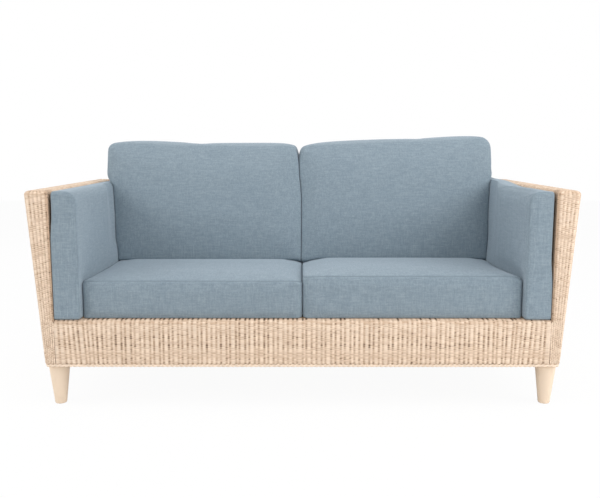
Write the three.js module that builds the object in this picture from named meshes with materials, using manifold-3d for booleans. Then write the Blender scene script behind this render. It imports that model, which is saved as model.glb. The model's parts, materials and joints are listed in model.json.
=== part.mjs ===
// Two-seat rattan garden sofa: a flared woven shell over a pole frame, turned legs, a slatted
// deck and six loose cushions. Millimetres, +Z up, front towards -Y, origin on the floor under
// the middle of the overall box. Left and right are as seen from the front.

import * as THREE from "three";
import { mergeVertices } from "three/addons/utils/BufferGeometryUtils.js";
import Module from "manifold-3d";

const wasm = await Module();
wasm.setup();

// Overall size and the clearances that pieces share
const overall_width = 1800;
const overall_depth = 880;
const rim_height = 724;
const fit_gap = 0.3;
const cushion_gap = 1;
const cut_overrun = 40;

// Woven shell
const shell_bottom = 137;
const side_flare = 43;
const back_flare = 35;
const wall_thickness = 78;
const skin_thickness = 6;
const stake_relief = 2.4;
const narrow_stake = 13.9;
const wide_stake = 17.6;
const rim_radius = 14;
const corner_radius = 10;
const border_height = 11.7;
const rim_steps = 2;
const top_relief_share = 0.3;
const wide_crest_shares = [0.3, 0.7];

// Pole frame
const pole_diameter = 28;
const pole_sides = 14;
const cope_share = 0.6;
const inner_post_setback = 70;
const back_post_pitches = 1.5;

// Legs and how they are fixed
const leg_top_diameter = 70;
const foot_diameter = 39;
const foot_chamfer = 4;
const leg_inset_side = 33;
const leg_inset_end = 49;
const leg_sides = 28;
const bolt_diameter = 8;
const bolt_length = 90;
const bolt_chamfer = 1;
const bolt_sides = 12;
const block_width = 80;
const block_height = 60;

// Slatted deck
const deck_height = 296;
const slat_count = 9;
const slat_width = 80;
const slat_thickness = 18;
const end_slat_inset = 42;

// Seat cushions: how far they stay behind the front and clear of the back, and their form
const seat_setback = 35;
const seat_rear_gap = 22;
const seat_seam_height = 430;
const seat_crown = 12;
const seat_corner = 24;
const seat_edge_roll = 20;
const seat_sink_lead = 227;
const seat_sink = 13;

// Arm pads
const pad_thickness = 87;
const pad_setback = 15;
const pad_top = 722;
const pad_rear_gap = 2;
const pad_top_radius = 38;
const pad_bottom_radius = 16;
const pad_draw_in = 7;
const pad_end_roll = 14;

// Back cushions: their front face stands ahead of the back wall by the two reaches
const back_top = 893;
const back_corner = 34;
const back_foot_reach = 280;
const back_foot_thickness = 214;
const back_head_reach = 166;
const back_head_thickness = 180;
const back_crown = 16;
const back_edge_roll = 30;
const back_overhang = 56;
const back_side_gap = 5;

// Places worked out from the sizes above
const pole_radius = pole_diameter / 2;
const front_face = -overall_depth / 2;
const lean_top = rim_height - rim_radius;
const shell_rise = lean_top - shell_bottom;
const side_lean = Math.atan(side_flare / shell_rise);
const inner_side = overall_width / 2 - wall_thickness;
const inner_back = overall_depth / 2 - wall_thickness;
const skin_bottom = shell_bottom + border_height + fit_gap;
const pole_offset = skin_thickness + fit_gap + pole_radius / Math.cos(side_lean);
const front_pole_y = front_face + skin_thickness + fit_gap + pole_radius;
const top_rail_z = rim_height - skin_thickness - fit_gap - pole_radius;
const inner_rail_x = inner_side + skin_thickness + fit_gap + pole_radius;
const inner_rail_y = inner_back + skin_thickness + fit_gap + pole_radius;
const seat_rail_z = deck_height - slat_thickness - fit_gap - pole_radius;
const apron_thickness = 2 * (skin_thickness + fit_gap + pole_radius);
const apron_back = front_face + apron_thickness;
const seat_rail_front_y = apron_back + fit_gap + pole_radius;
const cushion_bottom = deck_height + fit_gap;
const cushion_front = front_face + seat_setback;
const seat_depth = inner_back - seat_rear_gap - cushion_front;
const pad_front = front_face + pad_setback;
const pad_depth = inner_back - pad_rear_gap - pad_front;
const back_foot_front = inner_back - back_foot_reach;
const back_head_front = inner_back - back_head_reach;
const seat_sink_start = back_foot_front - seat_sink_lead;
const seat_top = seat_seam_height + seat_crown;
const seat_sink_slope = seat_sink / seat_sink_lead;
const back_foot = seat_top - seat_sink + fit_gap;
const pad_outer = inner_side - fit_gap;
const pad_inner = pad_outer - pad_thickness;
const seat_outer = pad_inner - cushion_gap;
const seat_inner = cushion_gap / 2;

// The outer faces lean out from the lower edge to where the top edge starts to round.
const side_at = (z) => overall_width / 2 - (side_flare * (lean_top - z)) / shell_rise;
const rear_at = (z) => overall_depth / 2 - (back_flare * (lean_top - z)) / shell_rise;
const blend = (from, to, share) => from + (to - from) * share;

const materials = {
  weave: new THREE.MeshStandardMaterial({ color: "#e6cbae", roughness: 0.78, metalness: 0 }),
  pole: new THREE.MeshStandardMaterial({ color: "#d9b88f", roughness: 0.6, metalness: 0 }),
  wood: new THREE.MeshStandardMaterial({ color: "#ecd5bc", roughness: 0.5, metalness: 0 }),
  fabric: new THREE.MeshStandardMaterial({ color: "#8b9da9", roughness: 0.95, metalness: 0 }),
  steel: new THREE.MeshStandardMaterial({ color: "#b9bcc0", roughness: 0.35, metalness: 1 }),
};

const sofa = new THREE.Group();

function piece(name, geometry, material, group) {
  const mesh = new THREE.Mesh(geometry, material);
  mesh.name = name;
  group.add(mesh);
  return mesh;
}

function section(parent) {
  const group = new THREE.Group();
  parent.add(group);
  return group;
}

// Solids: merging, mirroring, joining and cutting

function flip(geometry) {
  const index = geometry.index.array;
  for (let i = 0; i < index.length; i += 3) {
    [index[i], index[i + 1]] = [index[i + 1], index[i]];
  }
  return geometry;
}

function signed_volume(geometry) {
  const at = geometry.attributes.position;
  const corners = [new THREE.Vector3(), new THREE.Vector3(), new THREE.Vector3()];
  let total = 0;
  for (let i = 0; i < geometry.index.count; i += 3) {
    corners.forEach((corner, k) => corner.fromBufferAttribute(at, geometry.index.getX(i + k)));
    total += corners[0].dot(corners[1].cross(corners[2]));
  }
  return total / 6;
}

// Drops normals, welds shared vertices and turns the faces outwards.
function welded(geometry) {
  const bare = geometry.clone();
  bare.deleteAttribute("normal");
  bare.deleteAttribute("uv");
  const merged = mergeVertices(bare);
  if (signed_volume(merged) < 0) flip(merged);
  merged.computeVertexNormals();
  return merged;
}

function mirrored(geometry) {
  const copy = geometry.clone().scale(-1, 1, 1);
  flip(copy);
  copy.computeVertexNormals();
  return copy;
}

function to_solid(geometry) {
  const closed = welded(geometry);
  return new wasm.Manifold(new wasm.Mesh({
    numProp: 3,
    vertProperties: new Float32Array(closed.attributes.position.array),
    triVerts: new Uint32Array(closed.index.array),
  }));
}

function to_geometry(solid) {
  const mesh = solid.getMesh();
  const geometry = new THREE.BufferGeometry();
  geometry.setAttribute("position", new THREE.BufferAttribute(mesh.vertProperties, 3));
  geometry.setIndex(new THREE.BufferAttribute(mesh.triVerts, 1));
  return welded(geometry);
}

function cut(geometry, cutters) {
  return to_geometry(cutters.reduce((solid, cutter) => solid.subtract(to_solid(cutter)), to_solid(geometry)));
}

// Triangles that close a flat outline, counter-clockwise in its own plane.
function cap_faces(outline) {
  return THREE.ShapeUtils.triangulateShape(outline, []).map(([a, b, c]) => {
    const ab = outline[b].clone().sub(outline[a]);
    const ac = outline[c].clone().sub(outline[a]);
    return ab.cross(ac) > 0 ? [a, b, c] : [a, c, b];
  });
}

// Skins matching outlines that are stacked one over the other. place(point, level) puts a
// point of an outline in space. The ends are closed flat, or to a middle point where one is
// given in tips as [first, last].
function loft(outlines, place, tips = [null, null]) {
  const positions = [];
  const faces = [];
  const count = outlines[0].length;
  const top = (outlines.length - 1) * count;
  outlines.forEach((outline, level) => {
    outline.forEach((point) => positions.push(...place(point, level).toArray()));
  });
  for (let level = 0; level < outlines.length - 1; level += 1) {
    for (let i = 0; i < count; i += 1) {
      const a = level * count + i;
      const b = level * count + ((i + 1) % count);
      faces.push(a, b, b + count, a, b + count, a + count);
    }
  }
  const [first_tip, last_tip] = tips;
  if (first_tip) {
    positions.push(...first_tip.toArray());
    const middle = positions.length / 3 - 1;
    for (let i = 0; i < count; i += 1) faces.push((i + 1) % count, i, middle);
  } else {
    cap_faces(outlines[0]).forEach(([a, b, c]) => faces.push(a, c, b));
  }
  if (last_tip) {
    positions.push(...last_tip.toArray());
    const middle = positions.length / 3 - 1;
    for (let i = 0; i < count; i += 1) faces.push(top + i, top + ((i + 1) % count), middle);
  } else {
    cap_faces(outlines.at(-1)).forEach(([a, b, c]) => faces.push(top + a, top + b, top + c));
  }
  const geometry = new THREE.BufferGeometry();
  geometry.setAttribute("position", new THREE.BufferAttribute(new Float32Array(positions), 3));
  geometry.setIndex(faces);
  return welded(geometry);
}

function block(x0, x1, y0, y1, z0, z1) {
  const geometry = new THREE.BoxGeometry(x1 - x0, y1 - y0, z1 - z0);
  geometry.translate((x0 + x1) / 2, (y0 + y1) / 2, (z0 + z1) / 2);
  return welded(geometry);
}

// Poles: round rattan, coped to saddle on the poles that they meet

function rod(from, to, radius, sides) {
  const along = to.clone().sub(from);
  const geometry = new THREE.CylinderGeometry(radius, radius, along.length(), sides);
  geometry.applyQuaternion(
    new THREE.Quaternion().setFromUnitVectors(new THREE.Vector3(0, 1, 0), along.clone().normalize()));
  const middle = from.clone().add(to).multiplyScalar(0.5);
  geometry.translate(middle.x, middle.y, middle.z);
  return welded(geometry);
}

// A pole's line, with how far each end stops short of the line of the pole that it meets.
function pole_line(from, to, trim_from = 0, trim_to = 0) {
  const way = to.clone().sub(from).normalize();
  return [
    from.clone().addScaledVector(way, trim_from),
    to.clone().addScaledVector(way, -trim_to),
  ];
}

// seats are the lines of the poles that this one saddles, and stops are other cutters.
function pole(line, seats = [], stops = []) {
  const solid = rod(line[0], line[1], pole_radius, pole_sides);
  const saddles = seats.map((seat) => {
    const [from, to] = pole_line(seat[0], seat[1], -pole_radius, -pole_radius);
    return rod(from, to, pole_radius + fit_gap, pole_sides);
  });
  const cutters = [...saddles, ...stops];
  return cutters.length ? cut(solid, cutters) : solid;
}

const vec = (x, y, z) => new THREE.Vector3(x, y, z);
const cope_trim = pole_radius * cope_share;

// Legs, their hanger bolts and the corner blocks that they screw into

const leg_height = shell_bottom - fit_gap;
const leg_x = side_at(shell_bottom) - leg_inset_side;
const leg_front_y = front_face + leg_inset_end;
const leg_rear_y = rear_at(shell_bottom) - leg_inset_end;
const bolt_hole_radius = bolt_diameter / 2 + fit_gap;
const bolt_bottom = shell_bottom - bolt_length / 2;

function turned(profile, sides) {
  const geometry = new THREE.LatheGeometry(profile.map(([r, z]) => new THREE.Vector2(r, z)), sides);
  return welded(geometry.rotateX(Math.PI / 2));
}

function leg() {
  return turned([
    [0, 0],
    [foot_diameter / 2 - foot_chamfer, 0],
    [foot_diameter / 2, foot_chamfer],
    [leg_top_diameter / 2, leg_height],
    [bolt_hole_radius, leg_height],
    [bolt_hole_radius, bolt_bottom - fit_gap],
    [0, bolt_bottom - fit_gap],
  ], leg_sides);
}

function hanger_bolt() {
  const radius = bolt_diameter / 2;
  return turned([
    [0, bolt_bottom],
    [radius - bolt_chamfer, bolt_bottom],
    [radius, bolt_bottom + bolt_chamfer],
    [radius, bolt_bottom + bolt_length - bolt_chamfer],
    [radius - bolt_chamfer, bolt_bottom + bolt_length],
    [0, bolt_bottom + bolt_length],
  ], bolt_sides);
}

const block_outer_x = side_at(shell_bottom) - skin_thickness - fit_gap;
const block_front_y = front_face + skin_thickness + fit_gap;
const block_rear_y = rear_at(shell_bottom) - skin_thickness - fit_gap;
const block_top = shell_bottom + block_height;

// A square block with a through hole for the bolt, its outer face just inside the weave.
function corner_block(end, hole_y) {
  const y0 = end === "front" ? block_front_y : block_rear_y - block_width;
  const outline = new THREE.Shape([
    new THREE.Vector2(block_outer_x - block_width, y0),
    new THREE.Vector2(block_outer_x, y0),
    new THREE.Vector2(block_outer_x, y0 + block_width),
    new THREE.Vector2(block_outer_x - block_width, y0 + block_width),
  ]);
  const hole = new THREE.Path();
  hole.absarc(leg_x, hole_y, bolt_hole_radius, 0, 2 * Math.PI, true);
  outline.holes.push(hole);
  const geometry = new THREE.ExtrudeGeometry(outline, {
    depth: block_height, bevelEnabled: false, curveSegments: bolt_sides,
  });
  return welded(geometry.translate(0, 0, shell_bottom));
}

const legs = section(sofa);
for (const [end, y] of [["front", leg_front_y], ["rear", leg_rear_y]]) {
  const pieces = {
    leg: [leg().translate(leg_x, y, 0), materials.wood],
    hanger_bolt: [hanger_bolt().translate(leg_x, y, 0), materials.steel],
    corner_block: [corner_block(end, y), materials.wood],
  };
  for (const [name, [geometry, material]] of Object.entries(pieces)) {
    piece(`${name}_${end}_right`, geometry, material, legs);
    piece(`${name}_${end}_left`, mirrored(geometry), material, legs);
  }
}

// Pole frame: corner posts that lean with the flare, rails round the base, seat and rim

const post_x = (z) => side_at(z) - pole_offset;
const rear_post_y = (z) => rear_at(z) - pole_offset;
const post_bottom = block_top - fit_gap;
const lower_rail_z = shell_bottom + fit_gap + pole_radius;
const apron_rail_z = deck_height - skin_thickness - fit_gap - pole_radius;
const block_inner_x = block_outer_x - block_width - fit_gap;
const block_inner_front_y = block_front_y + block_width + fit_gap;
const block_inner_rear_y = block_rear_y - block_width - fit_gap;
const rail_start_y = front_face + skin_thickness + fit_gap;
const outer_rail_x = post_x(top_rail_z);
const outer_rail_end_y = rear_at(top_rail_z - pole_radius) - skin_thickness - fit_gap;
const side_rail_x = post_x(seat_rail_z);
const rear_rail_y = rear_post_y(seat_rail_z);
const slat_pitch = (2 * (inner_side - end_slat_inset)) / (slat_count - 1);
const back_post_x = slat_pitch * back_post_pitches;
const inner_post_y = front_pole_y + inner_post_setback;

// A rail of the right-hand half, mirrored to the left-hand one.
const left_of = (line) => line.map((end) => vec(-end.x, end.y, end.z));
const both = (line) => [line, left_of(line)];

const lines = {
  arm_rail_outer: pole_line(
    vec(outer_rail_x, rail_start_y, top_rail_z), vec(outer_rail_x, outer_rail_end_y, top_rail_z)),
  arm_rail_inner: pole_line(
    vec(inner_rail_x, rail_start_y, top_rail_z),
    vec(inner_rail_x, inner_rail_y + pole_radius, top_rail_z)),
  side_rail: pole_line(
    vec(side_rail_x, front_pole_y, seat_rail_z), vec(side_rail_x, rear_rail_y, seat_rail_z),
    cope_trim, cope_trim),
  front_post: pole_line(
    vec(post_x(post_bottom), front_pole_y, post_bottom),
    vec(outer_rail_x, front_pole_y, top_rail_z), 0, cope_trim),
  rear_post: pole_line(
    vec(post_x(post_bottom), rear_post_y(post_bottom), post_bottom),
    vec(outer_rail_x, rear_post_y(top_rail_z), top_rail_z), 0, cope_trim),
  inner_post: pole_line(
    vec(inner_rail_x, inner_post_y, seat_rail_z), vec(inner_rail_x, inner_post_y, top_rail_z),
    cope_trim, cope_trim),
  back_rail_outer: pole_line(
    vec(-outer_rail_x, rear_post_y(top_rail_z), top_rail_z),
    vec(outer_rail_x, rear_post_y(top_rail_z), top_rail_z), cope_trim, cope_trim),
  back_rail_inner: pole_line(
    vec(-inner_rail_x, inner_rail_y, top_rail_z), vec(inner_rail_x, inner_rail_y, top_rail_z),
    cope_trim, cope_trim),
  apron_rail: pole_line(
    vec(-post_x(apron_rail_z), front_pole_y, apron_rail_z),
    vec(post_x(apron_rail_z), front_pole_y, apron_rail_z), cope_trim, cope_trim),
  seat_rail_front: pole_line(
    vec(-side_rail_x, seat_rail_front_y, seat_rail_z),
    vec(side_rail_x, seat_rail_front_y, seat_rail_z), cope_trim, cope_trim),
  seat_rail_middle: pole_line(
    vec(-side_rail_x, 0, seat_rail_z), vec(side_rail_x, 0, seat_rail_z), cope_trim, cope_trim),
  seat_rail_rear: pole_line(
    vec(-side_rail_x, rear_rail_y, seat_rail_z), vec(side_rail_x, rear_rail_y, seat_rail_z),
    cope_trim, cope_trim),
  back_post: pole_line(
    vec(back_post_x, rear_rail_y, seat_rail_z),
    vec(back_post_x, rear_post_y(top_rail_z), top_rail_z), cope_trim, cope_trim),
};

const frame = section(sofa);

// The leaning posts are sawn level where they stand on the corner blocks.
const saw_box = block(
  inner_side - cut_overrun, overall_width / 2, front_face, -front_face,
  block_top - cut_overrun, block_top + fit_gap);

function pole_pair(name, line, seats, stops = []) {
  const geometry = pole(line, seats, stops);
  piece(`${name}_right`, geometry, materials.pole, frame);
  piece(`${name}_left`, mirrored(geometry), materials.pole, frame);
}

pole_pair("arm_rail_outer", lines.arm_rail_outer, []);
pole_pair("arm_rail_inner", lines.arm_rail_inner, []);
pole_pair("front_post", lines.front_post, [lines.arm_rail_outer], [saw_box]);
pole_pair("rear_post", lines.rear_post, [lines.arm_rail_outer], [saw_box]);
pole_pair("side_rail", lines.side_rail, [lines.front_post, lines.rear_post]);
pole_pair("inner_post", lines.inner_post, [lines.arm_rail_inner, lines.side_rail]);

const corner_lines = [...both(lines.front_post), ...both(lines.rear_post), ...both(lines.side_rail)];
const rim_lines = [...both(lines.arm_rail_outer), ...both(lines.rear_post)];
piece("back_rail_outer", pole(lines.back_rail_outer, rim_lines), materials.pole, frame);
piece("back_rail_inner", pole(lines.back_rail_inner, both(lines.arm_rail_inner)), materials.pole, frame);
for (const name of ["apron_rail", "seat_rail_front", "seat_rail_middle", "seat_rail_rear"]) {
  piece(name, pole(lines[name], corner_lines), materials.pole, frame);
}
pole_pair("back_post", lines.back_post, [lines.seat_rail_rear, lines.back_rail_outer]);

const lower_front = pole([
  vec(-block_inner_x, front_pole_y, lower_rail_z), vec(block_inner_x, front_pole_y, lower_rail_z),
]);
const lower_rear_y = block_rear_y - pole_radius;
const lower_rear = pole([
  vec(-block_inner_x, lower_rear_y, lower_rail_z), vec(block_inner_x, lower_rear_y, lower_rail_z),
]);
const lower_side_x = block_outer_x - pole_radius;
piece("lower_rail_front", lower_front, materials.pole, frame);
piece("lower_rail_rear", lower_rear, materials.pole, frame);
pole_pair("lower_rail", [
  vec(lower_side_x, block_inner_front_y, lower_rail_z),
  vec(lower_side_x, block_inner_rear_y, lower_rail_z),
], []);

// Slats across the seat rails, level with the top of the front apron

const deck = section(sofa);
for (let i = 0; i < slat_count; i += 1) {
  const x = slat_pitch * (i - (slat_count - 1) / 2);
  piece(`slat_${i + 1}`, block(
    x - slat_width / 2, x + slat_width / 2, apron_back + fit_gap, rear_rail_y,
    deck_height - slat_thickness, deck_height), materials.wood, deck);
}

// Woven walls: narrow and wide upright stakes stand out in turn along every outer face

const stake_pair = narrow_stake + wide_stake;
const narrow_share = narrow_stake / stake_pair;

// Points along one face: a valley, a narrow crest, a valley and the two edges of a wide crest.
function staked_edge(from, to, pairs, relief) {
  const way = to.clone().sub(from);
  const inward = new THREE.Vector2(-way.y, way.x).normalize();
  const points = [];
  const mark = (share, depth) => points.push(
    from.clone().addScaledVector(way, share).addScaledVector(inward, depth));
  for (let i = 0; i < pairs; i += 1) {
    mark(i / pairs, relief);
    mark((i + narrow_share / 2) / pairs, 0);
    mark((i + narrow_share) / pairs, relief);
    for (const share of wide_crest_shares) mark((i + blend(narrow_share, 1, share)) / pairs, 0);
  }
  mark(1, relief);
  return points;
}

// A rectangle in plan, counter-clockwise from its front left corner. Faces with a count of
// stake pairs carry stakes and have round corners between them; the others are plain.
function wall_outline(box, pairs, relief) {
  const corners = [
    new THREE.Vector2(box.x0, box.y0), new THREE.Vector2(box.x1, box.y0),
    new THREE.Vector2(box.x1, box.y1), new THREE.Vector2(box.x0, box.y1),
  ];
  const points = [];
  corners.forEach((corner, i) => {
    const next = corners[(i + 1) % 4];
    const before = pairs[(i + 3) % 4] > 0;
    const after = pairs[(i + 1) % 4] > 0;
    const way = next.clone().sub(corner).normalize();
    if (!pairs[i]) {
      if (!before) points.push(corner.clone());
      return;
    }
    if (!before) points.push(corner.clone());
    const from = before ? corner.clone().addScaledVector(way, corner_radius) : corner.clone();
    const to = after ? next.clone().addScaledVector(way, -corner_radius) : next.clone();
    points.push(...staked_edge(from, to, pairs[i], relief).slice(before ? 0 : 1, after ? undefined : -1));
    if (!after) {
      points.push(next.clone());
      return;
    }
    const turn = new THREE.Vector2(-way.y, way.x);
    const middle = corner_radius * (1 - Math.SQRT1_2);
    points.push(next.clone().addScaledVector(way, -middle).addScaledVector(turn, middle));
  });
  return points;
}

// A closed woven block with a rounded top edge: box_at(z, inset) gives its plan at a height.
function woven_block(box_at, pairs, bottom, top) {
  const levels = [[bottom, 0, 1]];
  for (let k = 0; k <= rim_steps; k += 1) {
    const angle = (k / rim_steps) * (Math.PI / 2);
    levels.push([
      top - rim_radius + rim_radius * Math.sin(angle),
      rim_radius * (1 - Math.cos(angle)),
      blend(top_relief_share, 1, Math.cos(angle)),
    ]);
  }
  return loft(
    levels.map(([z, inset, share]) => wall_outline(box_at(z, inset), pairs, stake_relief * share)),
    (point, level) => vec(point.x, point.y, levels[level][0]));
}

// A plain tapered block, for the hollow inside a woven wall.
function hollow(box_at, bottom, top) {
  const outline = (z) => wall_outline(box_at(z), [0, 0, 0, 0], 0);
  return loft([outline(bottom), outline(top)], (point, level) =>
    vec(point.x, point.y, level ? top : bottom));
}

const pairs_along = (length) => Math.max(1, Math.round(length / stake_pair));
const arm_pairs = pairs_along((side_at(shell_bottom) + side_at(lean_top)) / 2 - inner_side);
const arm_side_pairs = pairs_along(rear_at(lean_top) - front_face - 2 * corner_radius);
const between_pairs = pairs_along(2 * inner_side);
const hollow_top = rim_height - skin_thickness;
const below = shell_bottom - cut_overrun;
const inner_skin_bottom = deck_height + fit_gap;

function arm_weave() {
  const outer = woven_block(
    (z, inset) => ({
      x0: inner_side + inset, x1: side_at(z) - inset, y0: front_face + inset, y1: rear_at(z) - inset,
    }), [arm_pairs, arm_side_pairs, arm_pairs, 0], skin_bottom, rim_height);
  const room = (x0) => (z) => ({
    x0, x1: side_at(z) - skin_thickness,
    y0: front_face + skin_thickness, y1: rear_at(z) - skin_thickness,
  });
  const to_back = (z) => ({
    x0: inner_side - cut_overrun, x1: inner_side + cut_overrun / 2,
    y0: inner_back + skin_thickness, y1: rear_at(z) - skin_thickness,
  });
  return cut(outer, [
    hollow(room(inner_side + skin_thickness), below, hollow_top),
    hollow(room(inner_side - cut_overrun), below, inner_skin_bottom),
    hollow(to_back, below, hollow_top),
  ]);
}

function back_weave() {
  const end = inner_side - fit_gap;
  const outer = woven_block(
    (z, inset) => ({ x0: -end, x1: end, y0: inner_back + inset, y1: rear_at(z) - inset }),
    [0, 0, between_pairs, 0], skin_bottom, rim_height);
  const room = (y0) => (z) => ({
    x0: -end - cut_overrun, x1: end + cut_overrun, y0, y1: rear_at(z) - skin_thickness,
  });
  return cut(outer, [
    hollow(room(inner_back + skin_thickness), below, hollow_top),
    hollow(room(inner_back - cut_overrun), below, inner_skin_bottom),
  ]);
}

// The front apron rolls over its rail and turns down behind it.
function apron_weave() {
  const end = inner_side - fit_gap;
  const outer = woven_block(
    (z, inset) => ({ x0: -end, x1: end, y0: front_face + inset, y1: apron_back }),
    [between_pairs, 0, 0, 0], skin_bottom, deck_height);
  const lip_bottom = apron_rail_z - pole_radius;
  const room = (y1) => () => ({
    x0: -end - cut_overrun, x1: end + cut_overrun, y0: front_face + skin_thickness, y1,
  });
  return cut(outer, [
    hollow(room(apron_back - skin_thickness), below, deck_height - skin_thickness),
    hollow(room(apron_back + cut_overrun), below, lip_bottom),
  ]);
}

const shell = section(sofa);
const right_arm = arm_weave();
piece("arm_weave_right", right_arm, materials.weave, shell);
piece("arm_weave_left", mirrored(right_arm), materials.weave, shell);
piece("back_weave", back_weave(), materials.weave, shell);
piece("apron_weave", apron_weave(), materials.weave, shell);

// Twisted border along the lower edge, a plain oval bar in outline

const border_sides = 10;

function border(from, to) {
  const along = to.clone().sub(from);
  const geometry = new THREE.CylinderGeometry(1, 1, along.length(), border_sides);
  geometry.scale(skin_thickness / 2, 1, border_height / 2);
  if (Math.abs(along.x) > Math.abs(along.y)) geometry.rotateZ(-Math.PI / 2);
  const middle = from.clone().add(to).multiplyScalar(0.5);
  return welded(geometry.translate(middle.x, middle.y, middle.z));
}

const border_z = shell_bottom + border_height / 2;
const border_x = side_at(shell_bottom) - skin_thickness / 2;
const border_front_y = front_face + skin_thickness / 2;
const border_rear_y = rear_at(shell_bottom) - skin_thickness / 2;
const border_end_x = side_at(shell_bottom);
const side_border_trim = skin_thickness / 2 + fit_gap;
piece("border_front", border(
  vec(-border_end_x, border_front_y, border_z), vec(border_end_x, border_front_y, border_z)),
  materials.weave, shell);
piece("border_rear", border(
  vec(-border_end_x, border_rear_y, border_z), vec(border_end_x, border_rear_y, border_z)),
  materials.weave, shell);
const side_border = border(
  vec(border_x, border_front_y + side_border_trim, border_z),
  vec(border_x, border_rear_y - side_border_trim, border_z));
piece("border_right", side_border, materials.weave, shell);
piece("border_left", mirrored(side_border), materials.weave, shell);

// Cushions: filled shapes with rolled edges, a drawn-in seam and a crown

const corner_steps = 3;
const edge_steps = 6;

// A rounded rectangle from (u0, v0) to (u1, v1), counter-clockwise. radii are for the corners
// in that order, from the one at (u1, v0) on; the straight sides carry points in between.
function soft_outline(u0, u1, v0, v1, radii) {
  const centres = [
    [u1 - radii[0], v0 + radii[0]], [u1 - radii[1], v1 - radii[1]],
    [u0 + radii[2], v1 - radii[2]], [u0 + radii[3], v0 + radii[3]],
  ];
  const arcs = centres.map(([u, v], i) => {
    const arc = [];
    for (let k = 0; k <= corner_steps; k += 1) {
      const angle = (i - 1 + k / corner_steps) * (Math.PI / 2);
      arc.push(new THREE.Vector2(u + radii[i] * Math.cos(angle), v + radii[i] * Math.sin(angle)));
    }
    return arc;
  });
  const points = [];
  arcs.forEach((arc, i) => {
    points.push(...arc);
    const next = arcs[(i + 1) % 4][0];
    for (let k = 1; k < edge_steps; k += 1) {
      points.push(arc.at(-1).clone().lerp(next, k / edge_steps));
    }
  });
  return points;
}

// Height shares of the boxed side with the inset there as a share of the edge's roll, then
// inset shares of the half width with the share of the crown reached there.
const seat_side_shares = [[0, 1], [0.05, 0.4], [0.15, 0.08], [0.5, 0.16], [0.9, 0], [1, 0.12]];
const seat_crown_shares = [[0.06, 0.42], [0.16, 0.72], [0.36, 0.94], [0.66, 1], [0.85, 1]];
const inner_corner_share = 0.4;

function seat_cushion() {
  const half_x = (seat_outer - seat_inner) / 2;
  const half_y = seat_depth / 2;
  const middle = vec(seat_inner + half_x, cushion_front + half_y, 0);
  const ring = (inset) => {
    const radius = seat_corner + Math.max(inset - seat_edge_roll, 0) * inner_corner_share;
    return soft_outline(
      -half_x + inset, half_x - inset, -half_y + inset, half_y - inset, Array(4).fill(radius));
  };
  const sides = seat_side_shares.map(([height, inset]) => ({
    outline: ring(inset * seat_edge_roll),
    z: blend(cushion_bottom, seat_seam_height, height),
  }));
  const crown = seat_crown_shares.map(([inset, share]) => ({
    outline: ring(inset * half_x),
    z: seat_seam_height + seat_crown * share,
  }));
  const rings = [...sides, ...crown];
  const place = (point, level) => vec(point.x, point.y, rings[level].z);
  const pad = loft(rings.map((entry) => entry.outline), place, [null, vec(0, 0, seat_top)])
    .translate(middle.x, middle.y, 0);
  // The back cushion's weight presses the rear flat, sloping down to the back.
  const pressed = block(-overall_width, overall_width, 0, overall_depth, 0, seat_top)
    .rotateX(-Math.atan(seat_sink_slope))
    .translate(0, seat_sink_start, seat_top);
  return cut(pad, [pressed]);
}

// Depth shares of a pad with the inset there as a share of its end roll.
const pad_shares = [[0, 1], [0.006, 0.4], [0.02, 0], [0.3, 0.05], [0.7, 0.05], [0.98, 0], [0.994, 0.4], [1, 1]];

function arm_pad() {
  const outlines = pad_shares.map(([, roll]) => {
    const inset = roll * pad_end_roll;
    const top = pad_top_radius - inset;
    const bottom = pad_bottom_radius;
    return soft_outline(
      cushion_bottom + inset, pad_top - inset, pad_inner + inset, pad_outer - inset,
      [top, top, bottom, bottom]);
  });
  // The side next to the arm is drawn in at half height.
  const height = pad_top - cushion_bottom;
  const draw = (z, x) => {
    const share = Math.sin((Math.PI * (z - cushion_bottom)) / height);
    const outer = THREE.MathUtils.clamp((x - pad_inner) / pad_thickness, 0, 1);
    return pad_draw_in * share * outer;
  };
  return loft(outlines, (point, level) => vec(
    point.y - draw(point.x, point.y),
    pad_front + pad_depth * pad_shares[level][0],
    point.x));
}

// Height shares of a back cushion with, for each, the inset as a share of the edge roll and
// how far its outer end leans out over the arm pad as a share of the overhang.
const back_shares = [
  [0, 1, 0], [0.02, 0.4, 0], [0.07, 0, 0], [0.3, 0, 0], [0.56, 0, 0], [0.645, 0, 0.03],
  [0.7, 0, 0.88], [0.8, 0, 1], [0.92, 0, 0.9], [0.97, 0.3, 0.8], [0.995, 1, 0.6],
];
const back_face_shares = { crown_power: 3, head_crown: 0.6, tilted_foot: 0.3 };

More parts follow.
